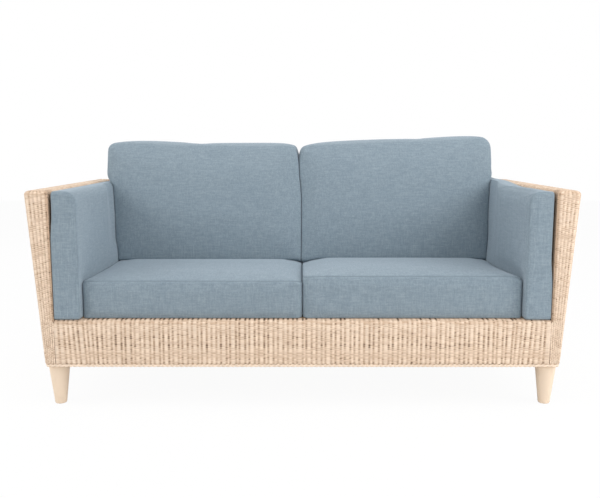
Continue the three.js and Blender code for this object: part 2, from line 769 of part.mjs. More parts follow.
function back_cushion() {
  const rings = back_shares.map(([height, roll, lean]) => {
    const inset = roll * back_edge_roll;
    const front = blend(back_foot_front, back_head_front, height);
    const thickness = blend(back_foot_thickness, back_head_thickness, height);
    return {
      z: blend(back_foot, back_top, height),
      x0: seat_inner + inset,
      x1: seat_outer - back_side_gap - inset + lean * (back_overhang + back_side_gap),
      y0: front + inset,
      y1: front + thickness - inset,
      crown: back_crown * blend(1, back_face_shares.head_crown, height) * (1 - roll),
      tilt: seat_sink_slope * Math.max(0, 1 - height / back_face_shares.tilted_foot),
    };
  });
  // The foot lies on the sunken rear of the seat.
  const place = (point, level) => {
    const { z, tilt } = rings[level];
    return vec(point.x, point.y, z - tilt * (point.y - back_foot_front));
  };
  const outlines = rings.map((ring) => {
    const { x0, x1, y0, y1, crown } = ring;
    const middle = (x0 + x1) / 2;
    const half = (x1 - x0) / 2;
    return soft_outline(x0, x1, y0 + crown, y1 - crown, Array(4).fill(back_corner)).map((point) => {
      const out = 1 - Math.abs((point.x - middle) / half) ** back_face_shares.crown_power;
      const side = point.y > (y0 + y1) / 2 ? 1 : -1;
      return new THREE.Vector2(point.x, point.y + side * crown * out);
    });
  });
  const top = rings.at(-1);
  const tip = vec((top.x0 + top.x1) / 2, (top.y0 + top.y1) / 2, back_top);
  return loft(outlines, place, [null, tip]);
}

const cushions = section(sofa);
const soft_pieces = { seat_cushion: seat_cushion(), arm_cushion: arm_pad(), back_cushion: back_cushion() };
for (const [name, geometry] of Object.entries(soft_pieces)) {
  piece(`${name}_right`, geometry, materials.fabric, cushions);
  piece(`${name}_left`, mirrored(geometry), materials.fabric, cushions);
}

export default sofa;
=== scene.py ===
"""Looks of a woven rattan garden sofa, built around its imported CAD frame.

Metres, +Z up, front towards -Y. Left and right are as seen from the front.
"""

import json
import math
from collections import namedtuple

import bmesh
import bpy
import numpy as np
from bpy.props import FloatProperty, FloatVectorProperty, IntProperty, PointerProperty
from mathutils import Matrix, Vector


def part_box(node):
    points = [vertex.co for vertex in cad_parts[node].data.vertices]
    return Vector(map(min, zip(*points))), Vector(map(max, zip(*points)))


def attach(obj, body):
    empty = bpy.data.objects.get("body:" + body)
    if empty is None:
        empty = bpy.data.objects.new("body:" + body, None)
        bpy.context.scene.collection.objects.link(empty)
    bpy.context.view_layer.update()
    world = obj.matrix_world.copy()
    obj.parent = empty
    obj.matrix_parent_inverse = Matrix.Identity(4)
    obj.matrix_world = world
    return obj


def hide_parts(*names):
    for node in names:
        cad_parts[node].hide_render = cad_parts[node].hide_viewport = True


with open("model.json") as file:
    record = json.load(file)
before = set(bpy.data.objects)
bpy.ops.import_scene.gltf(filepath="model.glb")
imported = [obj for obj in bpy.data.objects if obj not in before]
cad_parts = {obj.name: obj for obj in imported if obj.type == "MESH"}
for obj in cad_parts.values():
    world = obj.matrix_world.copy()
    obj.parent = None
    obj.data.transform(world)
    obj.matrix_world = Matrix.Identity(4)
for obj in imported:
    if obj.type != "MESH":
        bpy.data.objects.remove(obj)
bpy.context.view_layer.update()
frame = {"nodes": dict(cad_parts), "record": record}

bl_info = {
    "name": "Rattan garden sofa",
    "version": (1, 0, 0),
    "blender": (4, 5, 0),
    "location": "View3D > Sidebar > Sofa",
    "description": "Builds the woven shell, legs, cushions and stage of a rattan garden sofa",
    "category": "Add Mesh",
}

MM = 0.001
BODY = "frame"
SIDES = (("right", 1), ("left", -1))
ENDS = ("front", "rear")

# Places read from the CAD frame
ARM_LOW, ARM_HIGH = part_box("arm_weave_right")
APRON_LOW, APRON_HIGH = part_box("apron_weave")
BORDER_LOW, BORDER_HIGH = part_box("border_front")
REAR_BORDER_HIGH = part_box("border_rear")[1]
RIM = ARM_HIGH.z
FRONT = ARM_LOW.y
REAR = ARM_HIGH.y
OUTER = ARM_HIGH.x
INNER = ARM_LOW.x
WALL = OUTER - INNER
WALL_FOOT = ARM_LOW.z
FLARE_FOOT = BORDER_LOW.z
DECK = APRON_HIGH.z


# Sizes and colours


def length_value(name, description, millimetres):
    return FloatProperty(name=name, description=description, default=millimetres * MM, unit="LENGTH")


def color_value(name, description, *default):
    return FloatVectorProperty(name=name, description=description, default=default, subtype="COLOR",
                               size=3)


def power_value(name, description, watts):
    return FloatProperty(name=name, description=f"{description}, in watts", default=watts)


class SofaShell(bpy.types.PropertyGroup):
    """Sizes and colours of the woven walls."""

    rim_radius: length_value("Rim radius", "Rounding of the walls' top edges", 14)
    corner_radius: length_value("Corner radius", "Rounding of the upright corners", 10)
    edge_radius: length_value("Inner edge radius", "Rounding of the pillars' inner edge", 12)
    narrow: length_value("Narrow stake", "Width woven over a narrow stake", 13.9)
    wide: length_value("Wide stake", "Width woven over a wide stake", 17.6)
    uneven: length_value("Unevenness", "How far a stake strays from its place", 2.6)
    bead: length_value("Bead height", "Height of one strand over a stake", 6.2)
    valley_depth: length_value("Valley depth", "Depth between two stakes", 3.0)
    bead_depth: length_value("Bead relief", "Depth between two strands", 1.2)
    skin: length_value("Skin", "Thickness of the woven skin", 5)
    cane_color: color_value("Cane", "Colour of the strands in full light", 0.93, 0.765, 0.615)
    # Painted shade in the valleys between the stakes
    valley_shade_color: color_value("Valley", "Colour between the stakes", 0.58, 0.41, 0.285)
    # Near-black painted shade in the small openings of the weave
    hole_shade_color: color_value("Hole", "Colour of the small dark openings", 0.10, 0.06, 0.035)


class SofaBorder(bpy.types.PropertyGroup):
    """Sizes of the twisted border along the lower edge."""

    pitch: length_value("Twist pitch", "Length of one full turn of the two strands", 31)
    strand: length_value("Strand radius", "Radius of one strand", 3.3)


class SofaWood(bpy.types.PropertyGroup):
    """Sizes and colours of the legs and the hidden frame."""

    foot_radius: length_value("Foot radius", "Radius of a leg at the floor", 19.5)
    foot_round: length_value("Foot rounding", "Rounding of a leg's lower edge", 4)
    leg_color: color_value("Leg", "Pale leg wood", 0.98, 0.825, 0.70)
    pole_color: color_value("Pole", "Round rattan poles", 0.62, 0.44, 0.26)
    slat_color: color_value("Slat", "Planed softwood", 0.70, 0.53, 0.35)
    steel_color: color_value("Bolt", "Zinc-plated steel", 0.60, 0.61, 0.63)


class SofaCushions(bpy.types.PropertyGroup):
    """Form and fabric of the six cushions."""

    frames: IntProperty(name="Swelling steps", description="Steps of the cloth simulation", default=20)
    pressure: FloatProperty(name="Pressure", description="Pressure of the filling", default=4.0)
    groove_width: length_value("Seam width", "Half width of a seam's groove", 4.5)
    fabric_color: color_value("Fabric", "Blue-grey linen", 0.238, 0.306, 0.357)
    slub_color: color_value("Slub", "Lighter slub threads", 0.325, 0.39, 0.435)


class SofaStage(bpy.types.PropertyGroup):
    """Camera and light."""

    lens: FloatProperty(name="Lens", description="Focal length in millimetres", default=43.80)
    camera_height: length_value("Camera height", "Height above the floor", 864.7)
    camera_distance: length_value("Camera distance", "Distance ahead of the origin", 2789.5)
    camera_pitch: FloatProperty(name="Camera pitch", description="Angle below the horizon",
                                default=math.radians(7.99), unit="ROTATION")
    world_light: FloatProperty(name="World light", description="Even light from all round", default=0.60)
    key_power: power_value("Key light", "Soft lamp high on the right", 64.0)
    fill_power: power_value("Fill light", "Soft lamp on the left", 45.0)
    front_power: power_value("Front light", "Soft lamp beside the camera", 25.0)
    top_power: power_value("Top light", "Soft lamp above the seat", 20.0)
    rear_power: power_value("Rear light", "Soft lamp behind the sofa", 24.0)


SETTINGS = {
    "sofa_shell": SofaShell,
    "sofa_border": SofaBorder,
    "sofa_wood": SofaWood,
    "sofa_cushions": SofaCushions,
    "sofa_stage": SofaStage,
}


# Shader nodes


def feed(tree, socket, value):
    """Links an output to a socket, or sets the socket's own value."""
    if isinstance(value, bpy.types.NodeSocket):
        tree.links.new(value, socket)
    else:
        socket.default_value = value


def add_node(tree, kind, inputs=None, **values):
    """A node with its fields and inputs set."""
    node = tree.nodes.new(kind)
    for key, value in values.items():
        setattr(node, key, value)
    for key, value in (inputs or {}).items():
        feed(tree, node.inputs[key], value)
    return node


def math_node(tree, operation, *values):
    return add_node(tree, "ShaderNodeMath", dict(enumerate(values)), operation=operation).outputs[0]


def mix_color(tree, share, low, high, blend="MIX"):
    return add_node(tree, "ShaderNodeMix", {0: share, 6: low, 7: high}, data_type="RGBA",
                    blend_type=blend).outputs[2]


def shader_group(name, inputs, outputs):
    """An empty node group with its sockets; returns the group, its inputs and its outputs."""
    group = bpy.data.node_groups.new(name, "ShaderNodeTree")
    for socket, value in inputs.items():
        kind = "NodeSocketVector" if isinstance(value, tuple) else "NodeSocketFloat"
        group.interface.new_socket(socket, in_out="INPUT", socket_type=kind).default_value = value
    for socket in outputs:
        group.interface.new_socket(socket, in_out="OUTPUT", socket_type="NodeSocketFloat")
    return group, group.nodes.new("NodeGroupInput").outputs, group.nodes.new("NodeGroupOutput").inputs


def remap(tree, value, low, high, to_low=0.0, to_high=1.0):
    return add_node(tree, "ShaderNodeMapRange", {
        "Value": value, "From Min": low, "From Max": high, "To Min": to_low, "To Max": to_high,
    }).outputs[0]


def noise(tree, place, scale, detail, roughness=0.5):
    return add_node(tree, "ShaderNodeTexNoise", {
        "Vector": place, "Scale": scale, "Detail": detail, "Roughness": roughness}).outputs["Fac"]


def stretch(tree, place, by):
    return add_node(tree, "ShaderNodeVectorMath", {0: place, 1: by}, operation="MULTIPLY").outputs[0]


def object_place(tree):
    return add_node(tree, "ShaderNodeTexCoord").outputs["Object"]


def attribute(tree, name):
    return add_node(tree, "ShaderNodeAttribute", attribute_name=name).outputs["Fac"]


def grain_group():
    """Fibres that run along one axis: a mask of streaks and a height."""
    group, start, end = shader_group("Grain", {"Along": (1.0, 1.0, 1.0), "Scale": 60.0},
                                     ("Streaks", "Height"))
    place = stretch(group, object_place(group), start["Along"])
    broad = noise(group, place, start["Scale"], 3.0, 0.6)
    fine = noise(group, place, math_node(group, "MULTIPLY", start["Scale"], 6.0), 2.0)
    streaks = math_node(group, "ADD", math_node(group, "MULTIPLY", broad, 0.65),
                        math_node(group, "MULTIPLY", fine, 0.35))
    group.links.new(streaks, end["Streaks"])
    group.links.new(fine, end["Height"])
    return group


def thread_group():
    """Crossing threads, whichever way a face looks: slubs, a height, soft patches, a coarse hatch."""
    group, start, end = shader_group("Threads", {"Thread count": 900.0, "Slub length": 26.0},
                                     ("Slubs", "Height", "Mottle", "Hatch"))
    place = object_place(group)

    def threads(operation, count):
        """The threads along each of the three axes, joined by an operation."""
        runs = []
        for axis in range(3):
            scale = add_node(group, "ShaderNodeCombineXYZ", {
                i: start["Slub length"] if i == axis else count for i in range(3)})
            runs.append(noise(group, stretch(group, place, scale.outputs[0]), 1.0, 1.0))
        return math_node(group, operation, runs[0], math_node(group, operation, runs[1], runs[2]))

    most = threads("MAXIMUM", start["Thread count"])
    hatch = threads("ADD", math_node(group, "MULTIPLY", start["Thread count"], 0.22))
    group.links.new(remap(group, most, 0.5, 0.78), end["Slubs"])
    group.links.new(most, end["Height"])
    group.links.new(noise(group, place, 9.0, 3.0, 0.6), end["Mottle"])
    group.links.new(remap(group, hatch, 1.2, 1.8), end["Hatch"])
    return group


def new_material(name, roughness, **constants):
    """A material with a Principled shader; constants go straight to its own sockets."""
    material = bpy.data.materials.new(name)
    material.use_nodes = True
    tree = material.node_tree
    shader = tree.nodes["Principled BSDF"]
    for key, value in {"Roughness": roughness, **constants}.items():
        shader.inputs[key.replace("_", " ")].default_value = value
    return material, tree, shader


def grained_material(name, grain, along, scale, roughness, rough, bump=None, **constants):
    """A material whose roughness and bump follow its fibres; returns also the streaks of the fibres."""
    material, tree, shader = new_material(name, roughness, **constants)
    fibres = add_node(tree, "ShaderNodeGroup", {"Along": along, "Scale": scale}, node_tree=grain).outputs
    tree.links.new(remap(tree, fibres["Streaks"], 0.3, 0.8, *rough), shader.inputs["Roughness"])
    if bump:
        add_bump(tree, shader, fibres["Height"], *bump)
    return material, tree, shader.inputs["Base Color"], fibres["Streaks"]


def add_bump(tree, shader, height, strength, distance):
    bump = add_node(tree, "ShaderNodeBump", {
        "Height": height, "Strength": strength, "Distance": distance})
    tree.links.new(bump.outputs[0], shader.inputs["Normal"])


def rgba(color, *shares):
    """A colour times one share, or times a share for each channel."""
    return (*np.minimum(1.0, np.array(color) * (shares or 1.0)), 1.0)


def weave_material(grain):
    shell = bpy.context.scene.sofa_shell
    cane = shell.cane_color
    _, tree, base, streaks = grained_material(
        "woven_cane", grain, (1.0, 1.0, 2.2), 120.0, 0.62, (0.55, 0.75), (0.25, 0.4 * MM),
        Specular_IOR_Level=0.3)
    shade = attribute(tree, "shade")
    strands = mix_color(tree, attribute(tree, "tone"), rgba(cane, 0.86), rgba(cane, 1.07))
    strands = mix_color(tree, remap(tree, streaks, 0.35, 0.75), strands, rgba(cane, 0.93, 0.90, 0.86))
    # Painted shade in the valleys between the stakes
    valleys = mix_color(tree, remap(tree, shade, 0.0, 0.55), strands, rgba(shell.valley_shade_color))
    # Near-black painted shade in the small openings
    holes = mix_color(tree, remap(tree, shade, 0.9, 1.35), valleys, rgba(shell.hole_shade_color))
    tree.links.new(holes, base)


def wood_material(name, color, along, scale, roughness, grain, contrast=0.82):
    material, tree, base, streaks = grained_material(
        name, grain, along, scale, roughness, (roughness - 0.06, roughness + 0.1), (0.2, 0.3 * MM),
        Specular_IOR_Level=0.35)
    dark = rgba(color, contrast, contrast * 0.97, contrast * 0.93)
    tree.links.new(mix_color(tree, remap(tree, streaks, 0.32, 0.72), rgba(color, 1.04), dark), base)
    return material


def pole_material(grain):
    """Rattan poles: long fibres and a darker ring at each node."""
    color = bpy.context.scene.sofa_wood.pole_color
    material, tree, base, streaks = grained_material(
        "rattan_pole", grain, (1.0, 1.0, 1.0), 180.0, 0.45, (0.36, 0.55), (0.2, 0.3 * MM),
        Specular_IOR_Level=0.45)
    rings = remap(tree, noise(tree, object_place(tree), 9.0, 1.0), 0.58, 0.66)
    fibres = mix_color(tree, remap(tree, streaks, 0.3, 0.75), rgba(color, 1.08), rgba(color, 0.8))
    tree.links.new(mix_color(tree, rings, fibres, rgba(color, 0.6)), base)
    return material


def steel_material(grain):
    color = bpy.context.scene.sofa_wood.steel_color
    material, tree, base, streaks = grained_material("zinc_steel", grain, (1.0, 1.0, 0.1), 900.0, 0.35,
                                                     (0.28, 0.45), Metallic=1.0)
    tree.links.new(mix_color(tree, streaks, rgba(color, 0.9), rgba(color, 1.1)), base)
    return material


def linen_material(threads):
    cushions = bpy.context.scene.sofa_cushions
    fabric = cushions.fabric_color
    _, tree, shader = new_material("linen", 0.92, Specular_IOR_Level=0.12, Sheen_Weight=0.34,
                                   Sheen_Roughness=0.6, Sheen_Tint=(0.80, 0.90, 1.0, 1.0))
    cloth = add_node(tree, "ShaderNodeGroup", node_tree=threads).outputs
    base = mix_color(tree, cloth["Slubs"], rgba(fabric, 0.94), rgba(cushions.slub_color))
    hatched = mix_color(tree, math_node(tree, "SUBTRACT", 1.0, cloth["Hatch"]), base,
                        rgba((0.81, 0.82, 0.83)), "MULTIPLY")
    mottled = mix_color(tree, remap(tree, cloth["Mottle"], 0.3, 0.7), hatched, rgba((0.95, 0.96, 0.97)),
                        "MULTIPLY")
    # Painted shade along the seam grooves
    tree.links.new(mix_color(tree, attribute(tree, "seam"), mottled, rgba(fabric, 0.62)),
                   shader.inputs["Base Color"])
    tree.links.new(remap(tree, cloth["Height"], 0.4, 0.8, 0.97, 0.84), shader.inputs["Roughness"])
    add_bump(tree, shader, cloth["Height"], 0.55, 0.5 * MM)


# Meshes from arrays


def mesh_object(name, points, quads, polygons=(), attributes=None, uv=None):
    """A mesh from an array of points, an array of smooth quads and a few larger flat polygons."""
    mesh = bpy.data.meshes.new(name)
    sizes = [4] * len(quads) + [len(p) for p in polygons]
    loops = np.concatenate([np.asarray(quads).ravel(), *polygons]).astype(np.int32)
    mesh.vertices.add(len(points))
    mesh.vertices.foreach_set("co", np.asarray(points, np.float32).ravel())
    mesh.loops.add(len(loops))
    mesh.loops.foreach_set("vertex_index", loops)
    mesh.polygons.add(len(sizes))
    starts = np.concatenate([[0], np.cumsum(sizes)[:-1]]).astype(np.int32)
    mesh.polygons.foreach_set("loop_start", starts)
    mesh.update(calc_edges=True)
    mesh.polygons.foreach_set("use_smooth", [True] * len(quads) + [False] * len(polygons))
    for key, values in (attributes or {}).items():
        layer = mesh.attributes.new(key, "FLOAT", "POINT")
        layer.data.foreach_set("value", np.asarray(values, np.float32).ravel())
    if uv is not None:
        layer = mesh.uv_layers.new(name="OFBake")
        layer.uv.foreach_set("vector", np.asarray(uv, np.float32)[loops].ravel())
    mesh.update()
    made = bpy.data.objects.new(name, mesh)
    bpy.context.scene.collection.objects.link(made)
    return made


def grid_quads(grid):
    """The quads of a grid of point numbers."""
    return np.stack([grid[:-1, :-1], grid[1:, :-1], grid[1:, 1:], grid[:-1, 1:]], -1).reshape(-1, 4)


def dress(piece, material, body, slot, *nodes):
    """Gives a piece its material and its body, and hides the CAD nodes that it stands for; slot is not
    used.
    """
    piece.data.materials.clear()
    piece.data.materials.append(bpy.data.materials[material])
    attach(piece, body)
    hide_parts(*nodes)
    return piece


def scatter(first, second, seed):
    """An even number from 0 to 1 for each pair of whole numbers, the same each run."""
    mixed = np.sin(first * 12.9898 + second * 78.233 + seed * 37.719) * 43758.5453
    return mixed - np.floor(mixed)


def ease(values, low, high):
    t = np.clip((values - low) / (high - low), 0, 1)
    return t * t * (3 - 2 * t)


def bell(values, reach):
    """1 at 0, falling smoothly to both sides."""
    return np.exp(-(values / reach) ** 2)


# Woven shell. A wall is a grid: marks run along it, a few for each stake, and rows run up the
# outer face, over the rim, across the top and down the inner face, a few for each strand.

ROWS_PER_BEAD = 4
# How dark the painted shade in the grooves between strands is
LINE_SHADE = 0.36
# Half the width of a valley between two stakes
VALLEY_HALF = 5.4 * MM


def stake_marks(length, start=0, pairs=None):
    """(share along the run, stake number, share across the stake) for narrow and wide stakes."""
    shell = bpy.context.scene.sofa_shell
    both = shell.narrow + shell.wide
    pairs = pairs or max(1, round(length / both))
    edges = np.arange(2 * pairs + 1) // 2 + (np.arange(2 * pairs + 1) % 2) * shell.narrow / both
    edges[1:-1] += (scatter(np.arange(1, 2 * pairs), start, 41) - 0.5) * shell.uneven / both
    marks = []
    for i, (low, high) in enumerate(zip(edges[:-1], edges[1:])):
        slope = VALLEY_HALF / both / (high - low)
        for share in (0.0, slope, 1 - slope):
            marks.append(((low + share * (high - low)) / pairs, start + i, share))
    marks.append((1.0, start + 2 * pairs, 0.0))
    return np.array(marks)


# Rows of a wall's cross-section: height, inset from the outer face, normal, strand count and part
Section = namedtuple("Section", "z inset out up count part")


def wall_section(foot, top, depth=0.0, inner_foot=0.0, inner_radius=None):
    """Up the outer face and over the rim; with a depth, also across the top and down inside."""
    shell = bpy.context.scene.sofa_shell
    outer, inner = shell.rim_radius, inner_radius or shell.rim_radius
    rows = []

    def run(part, size, place, least=1, stride=1):
        """Rows along one stretch. place(share) gives height, inset, and the normal's two parts."""
        n = max(least, round(size * ROWS_PER_BEAD / (shell.bead * stride)))
        done = rows[-1][4] if rows else 0.0
        for k in range(1 if rows else 0, n + 1):
            rows.append((*place(k / n), done + stride * k / ROWS_PER_BEAD, part))

    def bend(size, angle):
        sine, cosine = math.sin(angle), math.cos(angle)
        return top - size * (1 - sine), size * (1 - cosine), cosine, sine

    def inner_bend(share):
        z, inset, out, up = bend(inner, (1 - share) * math.pi / 2)
        return z, depth - inset, -out, up

    run("outer", top - outer - foot, lambda t: (foot + (top - outer - foot) * t, 0.0, 1.0, 0.0))
    run("rim", outer * math.pi / 2, lambda t: bend(outer, t * math.pi / 2), 3)
    if depth:
        flat, drop = depth - outer - inner, top - inner - inner_foot
        run("top", flat, lambda t: (top, outer + flat * t, 0.0, 1.0))
        run("inner rim", inner * math.pi / 2, inner_bend, 2)
        run("inner", drop, lambda t: (top - inner - drop * t, depth, -1.0, 0.0), 1, 2)
    return Section(*map(np.array, zip(*rows)))


def leaning(z, foot, top):
    """Place of an outer face at a height: it leans out up to where the rim starts to round."""
    lean_top = RIM - bpy.context.scene.sofa_shell.rim_radius
    return top - (top - foot) * np.clip((lean_top - z) / (lean_top - FLARE_FOOT), 0, 1)


def side_at(z):
    return leaning(z, BORDER_HIGH.x, OUTER)


def rear_at(z):
    return leaning(z, REAR_BORDER_HIGH.y, REAR)


# How dark the painted shade in the valleys is at each height of the front's lower part
VALLEY_HEIGHTS = (0.137, 0.148, 0.152, 0.160, 0.166, 0.172, 0.190, 0.200, 0.213, 0.222, 0.245, 0.258,
                  0.266, 0.280, 0.288, 0.292, 0.300)
VALLEY_SHADES = (1.0, 1.35, 1.2, 0.85, 1.25, 0.7, 0.75, 1.0, 1.4, 1.1, 1.2, 1.05,
                 0.75, 0.7, 1.1, 0.7, 1.0)
# The twined band: its lower and upper edge, and the height and start of one twine
BAND_FOOT, BAND_HEAD = (0.166, 0.170), (0.186, 0.190)
TWINE, TWINE_START = 9.5 * MM, 0.171
# The apron: foot of its inner face, and how far the stakes near its ends swing in: slope, place, reach
APRON_INNER_FOOT = 0.2557
SWING, SWING_AT, SWING_REACH = 0.065, 0.745, 0.06
# Share of the full valley depth, and how dark the painted shade in the valleys is, on each kind of face
PILLAR_FACE, OUTER_FACE, CHEEK_FACE, APRON_FACE = (0.75, 0.78), (0.9, 0.7), (0.6, 0.7), (0.9, 1.0)
# Seeds of the scattered unevenness, for each arm's walls and for the apron
ARM_SEEDS, APRON_SEED = {"right": 11, "left": 31}, 97


def weave_relief(stake, across, count, z, part, depth, dark, seed, lines, smooth_ends):
    """Height of the weave over its plain surface, and its shade and tone, for a grid.

    depth: share of the full valley depth; dark and lines: how dark the painted shade is in the valleys
    and in the grooves between strands."""
    shell = bpy.context.scene.sofa_shell
    phase = count + 0.5 * (stake % 2)
    strand, half = np.floor(phase), np.floor(2 * count + 0.01)
    bead = np.abs(np.sin(np.pi * (phase - strand)))
    valley = (across < 0.01).astype(float) * np.ones_like(phase)
    for end in smooth_ends:
        valley[end] = 0
    tone = 0.5 * scatter(stake, strand, seed) + 0.5 * scatter(stake, 0, seed + 2)
    # The twined band near the lower edge fills the valleys with round pale strands, with painted shade
    # between them.
    band = ease(z, *BAND_FOOT) * (1 - ease(z, *BAND_HEAD)) * (part == "outer")
    twine = np.sin(np.pi * ((z - TWINE_START) / TWINE + 0.5 * stake)) ** 2
    valley_shade_level = np.interp(z, VALLEY_HEIGHTS, VALLEY_SHADES)
    # Small openings scattered in the valleys: sunk a little deeper and filled with near-black painted
    # shade
    chance = dark * valley_shade_level * (0.07 + 0.4 * (scatter(np.floor(count), 0, seed + 1) > 0.86))
    shaded_hole = (scatter(stake, half, seed + 3) < chance) * valley * (1 - 0.6 * band)
    flatter = np.where(np.isin(part, ("top", "inner")), 0.6, 1.0)
    edge = shell.valley_depth * depth * flatter * (1 - 0.3 * band)
    crest = -shell.bead_depth * (1 - bead) * (1 - 0.3 * band) - 0.25 * MM * tone
    trough = -edge * (0.9 + 0.2 * scatter(stake, half, seed + 4)) - 1.1 * MM * shaded_hole
    height = np.where(valley > 0, trough, crest) + 0.6 * MM * band * (twine - 0.5)
    # Painted shade in the grooves between strands: thin lines on the crests, gaps across the valleys
    groove = (1 - bead) ** 0.75
    line = lines * groove * (0.15 + 1.7 * scatter(np.floor(stake / 2), strand, seed + 8) ** 2)
    gap = groove * (0.5 + 1.4 * scatter(stake, strand, seed + 5) ** 2)
    mood = 0.75 + 0.5 * scatter(np.floor((stake + 1) / 2), 0, seed + 9)
    # Painted shade: in the valleys, in their small openings, in the grooves between strands and between
    # the twined strands
    shade = np.where(
        valley > 0,
        dark * valley_shade_level * mood * (0.21 + 1.05 * gap) + 0.4 * shaded_hole,
        line * (1 - 0.3 * band) + 0.05 * scatter(stake, strand, seed + 6)) + 0.3 * band * (1 - twine)
    over = np.isin(part, ("rim", "top", "inner rim"))
    return np.minimum(height, 0.0), shade + 0.32 * over * scatter(stake, strand, seed + 10), tone


def closed_skin(name, node, face, back, keep, sign, shade, tone, share):
    """A closed skin: a dense outer grid and a light backing that has only the kept marks."""
    marks, rows = face.shape[:2]
    number = np.arange(marks * rows).reshape(marks, rows)
    inner = marks * rows + np.arange(len(keep) * rows).reshape(len(keep), rows)
    quads = np.concatenate([
        grid_quads(number), grid_quads(inner.T), grid_quads(np.stack([number[0], inner[0]], -1)),
        grid_quads(np.stack([number[-1], inner[-1]]))])
    polygons = []
    for k, (first, last) in enumerate(zip(keep[:-1], keep[1:])):
        run = number[first:last + 1]
        polygons.append([inner[k, 0], inner[k + 1, 0], *run[::-1, 0]])
        polygons.append([inner[k + 1, -1], inner[k, -1], *run[:, -1]])
    points = np.concatenate([face.reshape(-1, 3), back[keep].reshape(-1, 3)])
    if sign < 0:
        points = points * np.array([-1, 1, 1])
        quads, polygons = quads[:, ::-1], [p[::-1] for p in polygons]
    up = np.linspace(0, 1, rows)
    u = np.concatenate([np.repeat(share * 0.94, rows), np.repeat(np.linspace(0.96, 1, len(keep)), rows)])
    v = np.concatenate([np.tile(up, marks), np.tile(0.01 + 0.98 * up, len(keep))])
    # The hidden backing has one even shade and tone.
    rest = np.full(len(keep) * rows, 0.45)
    attributes = {key: np.concatenate([values.ravel(), rest])
                  for key, values in (("shade", shade), ("tone", tone))}
    skin = mesh_object(name, points, quads, polygons, attributes, np.stack([u, v], -1))
    return dress(skin, "woven_cane", BODY, "rattan_weave", node)


def straight_wall(name, node, marks, rows, along, outward, sign, depth, dark, seed, shaded=0.0,
                  flat_top=False, smooth_ends=(), top_shade_gaps=None):
    """A straight wall. along(share, rows) gives each row's places on the outer face in plan.
    top_shade_gaps: how often each valley mark gets a near-black dash of painted shade on the wall's top,
    from about 13 mm behind its outer face inwards."""
    share, stake, across = (column[:, None] for column in marks.T)
    out = np.array([*outward, 0.0])
    normal = rows.out[:, None] * out + rows.up[:, None] * np.array([0, 0, 1.0])
    height, shade, tone = weave_relief(stake, across, rows.count[None, :] + 0 * share, rows.z[None, :],
                                       rows.part[None, :], depth, dark, seed, LINE_SHADE, smooth_ends)
    if flat_top:
        height = np.where(np.isin(rows.part, ("outer", "rim")), height, 0.0)
    if top_shade_gaps is not None:
        # Painted shade: near-black dashes in the valleys on the top's inner part
        gaps = (scatter(stake, 0, seed + 11) < top_shade_gaps[:, None]) * (across < 0.01)
        shade = shade + 1.2 * gaps * (rows.part == "top") * ease(rows.inset, 13 * MM, 17 * MM)
    base = along(share, rows) - rows.inset[None, :, None] * out[:2]
    base = np.concatenate([base, np.broadcast_to(rows.z[None, :, None], (*base.shape[:2], 1))], -1)
    face = base + height[..., None] * normal[None]
    back = base - bpy.context.scene.sofa_shell.skin * normal[None]
    closed_skin(name, node, face, back, [0, len(marks) - 1], sign, shade + shaded, tone, marks[:, 0])


def corner_wall(name, node, path, rows, mitre, sign, depth, dark, seed, lines=LINE_SHADE, smooth_ends=()):
    """Two faces round an upright corner, whose tops end on the mitre across the wall's top.

    path(z, inset) gives, for each mark, its place and outward direction in plan.
    mitre: the corner of the two rims, from which the mitre runs inwards."""
    shell = bpy.context.scene.sofa_shell
    marks = path.marks
    stake, across = marks[:, 1:2], marks[:, 2:3]
    place, out = (np.stack(columns, 1) for columns in zip(*map(path, rows.z, rows.inset)))
    size = place.shape[:2]
    z, count, part = (np.broadcast_to(row[None, :], size) for row in (rows.z, rows.count, rows.part))
    up = np.broadcast_to(rows.up[None, :, None], (*size, 1))
    normal = np.concatenate([out * rows.out[None, :, None], up], -1)
    base = np.concatenate([place, z[..., None]], -1)
    # The flat top, row by row from the rim to the mitre
    last, way = place[:, -1], out[:, -1]
    sideways = np.abs(way[:, :1]) > np.abs(way[:, 1:])
    straight = np.where(sideways, [[1.0, 0.0]], [[0.0, 1.0]]) * np.sign(way)
    run = np.where(sideways, np.abs(mitre - last)[:, 1:], np.abs(mitre - last)[:, :1])[:, 0]
    run = run.clip(0, WALL - 2 * shell.rim_radius)
    steps = round(float(run.max()) / (shell.bead / ROWS_PER_BEAD))
    run = run[:, None] * (np.arange(1, steps + 1) / steps)
    top = last[:, None, :] - straight[:, None, :] * run[..., None]
    height_up = np.full((*top.shape[:2], 1), rows.z[-1])
    base = np.concatenate([base, np.concatenate([top, height_up], -1)], 1)
    upright = np.broadcast_to(np.array([0, 0, 1.0]), (*top.shape[:2], 3))
    normal = np.concatenate([normal, upright], 1)
    count = np.concatenate([count, rows.count[-1] + run / shell.bead], 1)
    z = np.concatenate([z, height_up[..., 0]], 1)
    part = np.concatenate([part, np.full(top.shape[:2], "top")], 1)
    height, shade, tone = weave_relief(stake, across, count, z, part, depth, dark, seed, lines,
                                       smooth_ends)
    shade = shade + 0.55 * np.clip(-normal[..., 0], 0, 1)
    made = closed_skin(name, node, base + height[..., None] * normal, base - shell.skin * normal,
                       path.keep, sign, shade, tone, marks[:, 0])
    work = bmesh.new()
    work.from_mesh(made.data)
    bmesh.ops.remove_doubles(work, verts=work.verts, dist=0.05 * MM)
    bmesh.ops.dissolve_degenerate(work, dist=0.02 * MM, edges=work.edges)
    work.to_mesh(made.data)
    work.free()


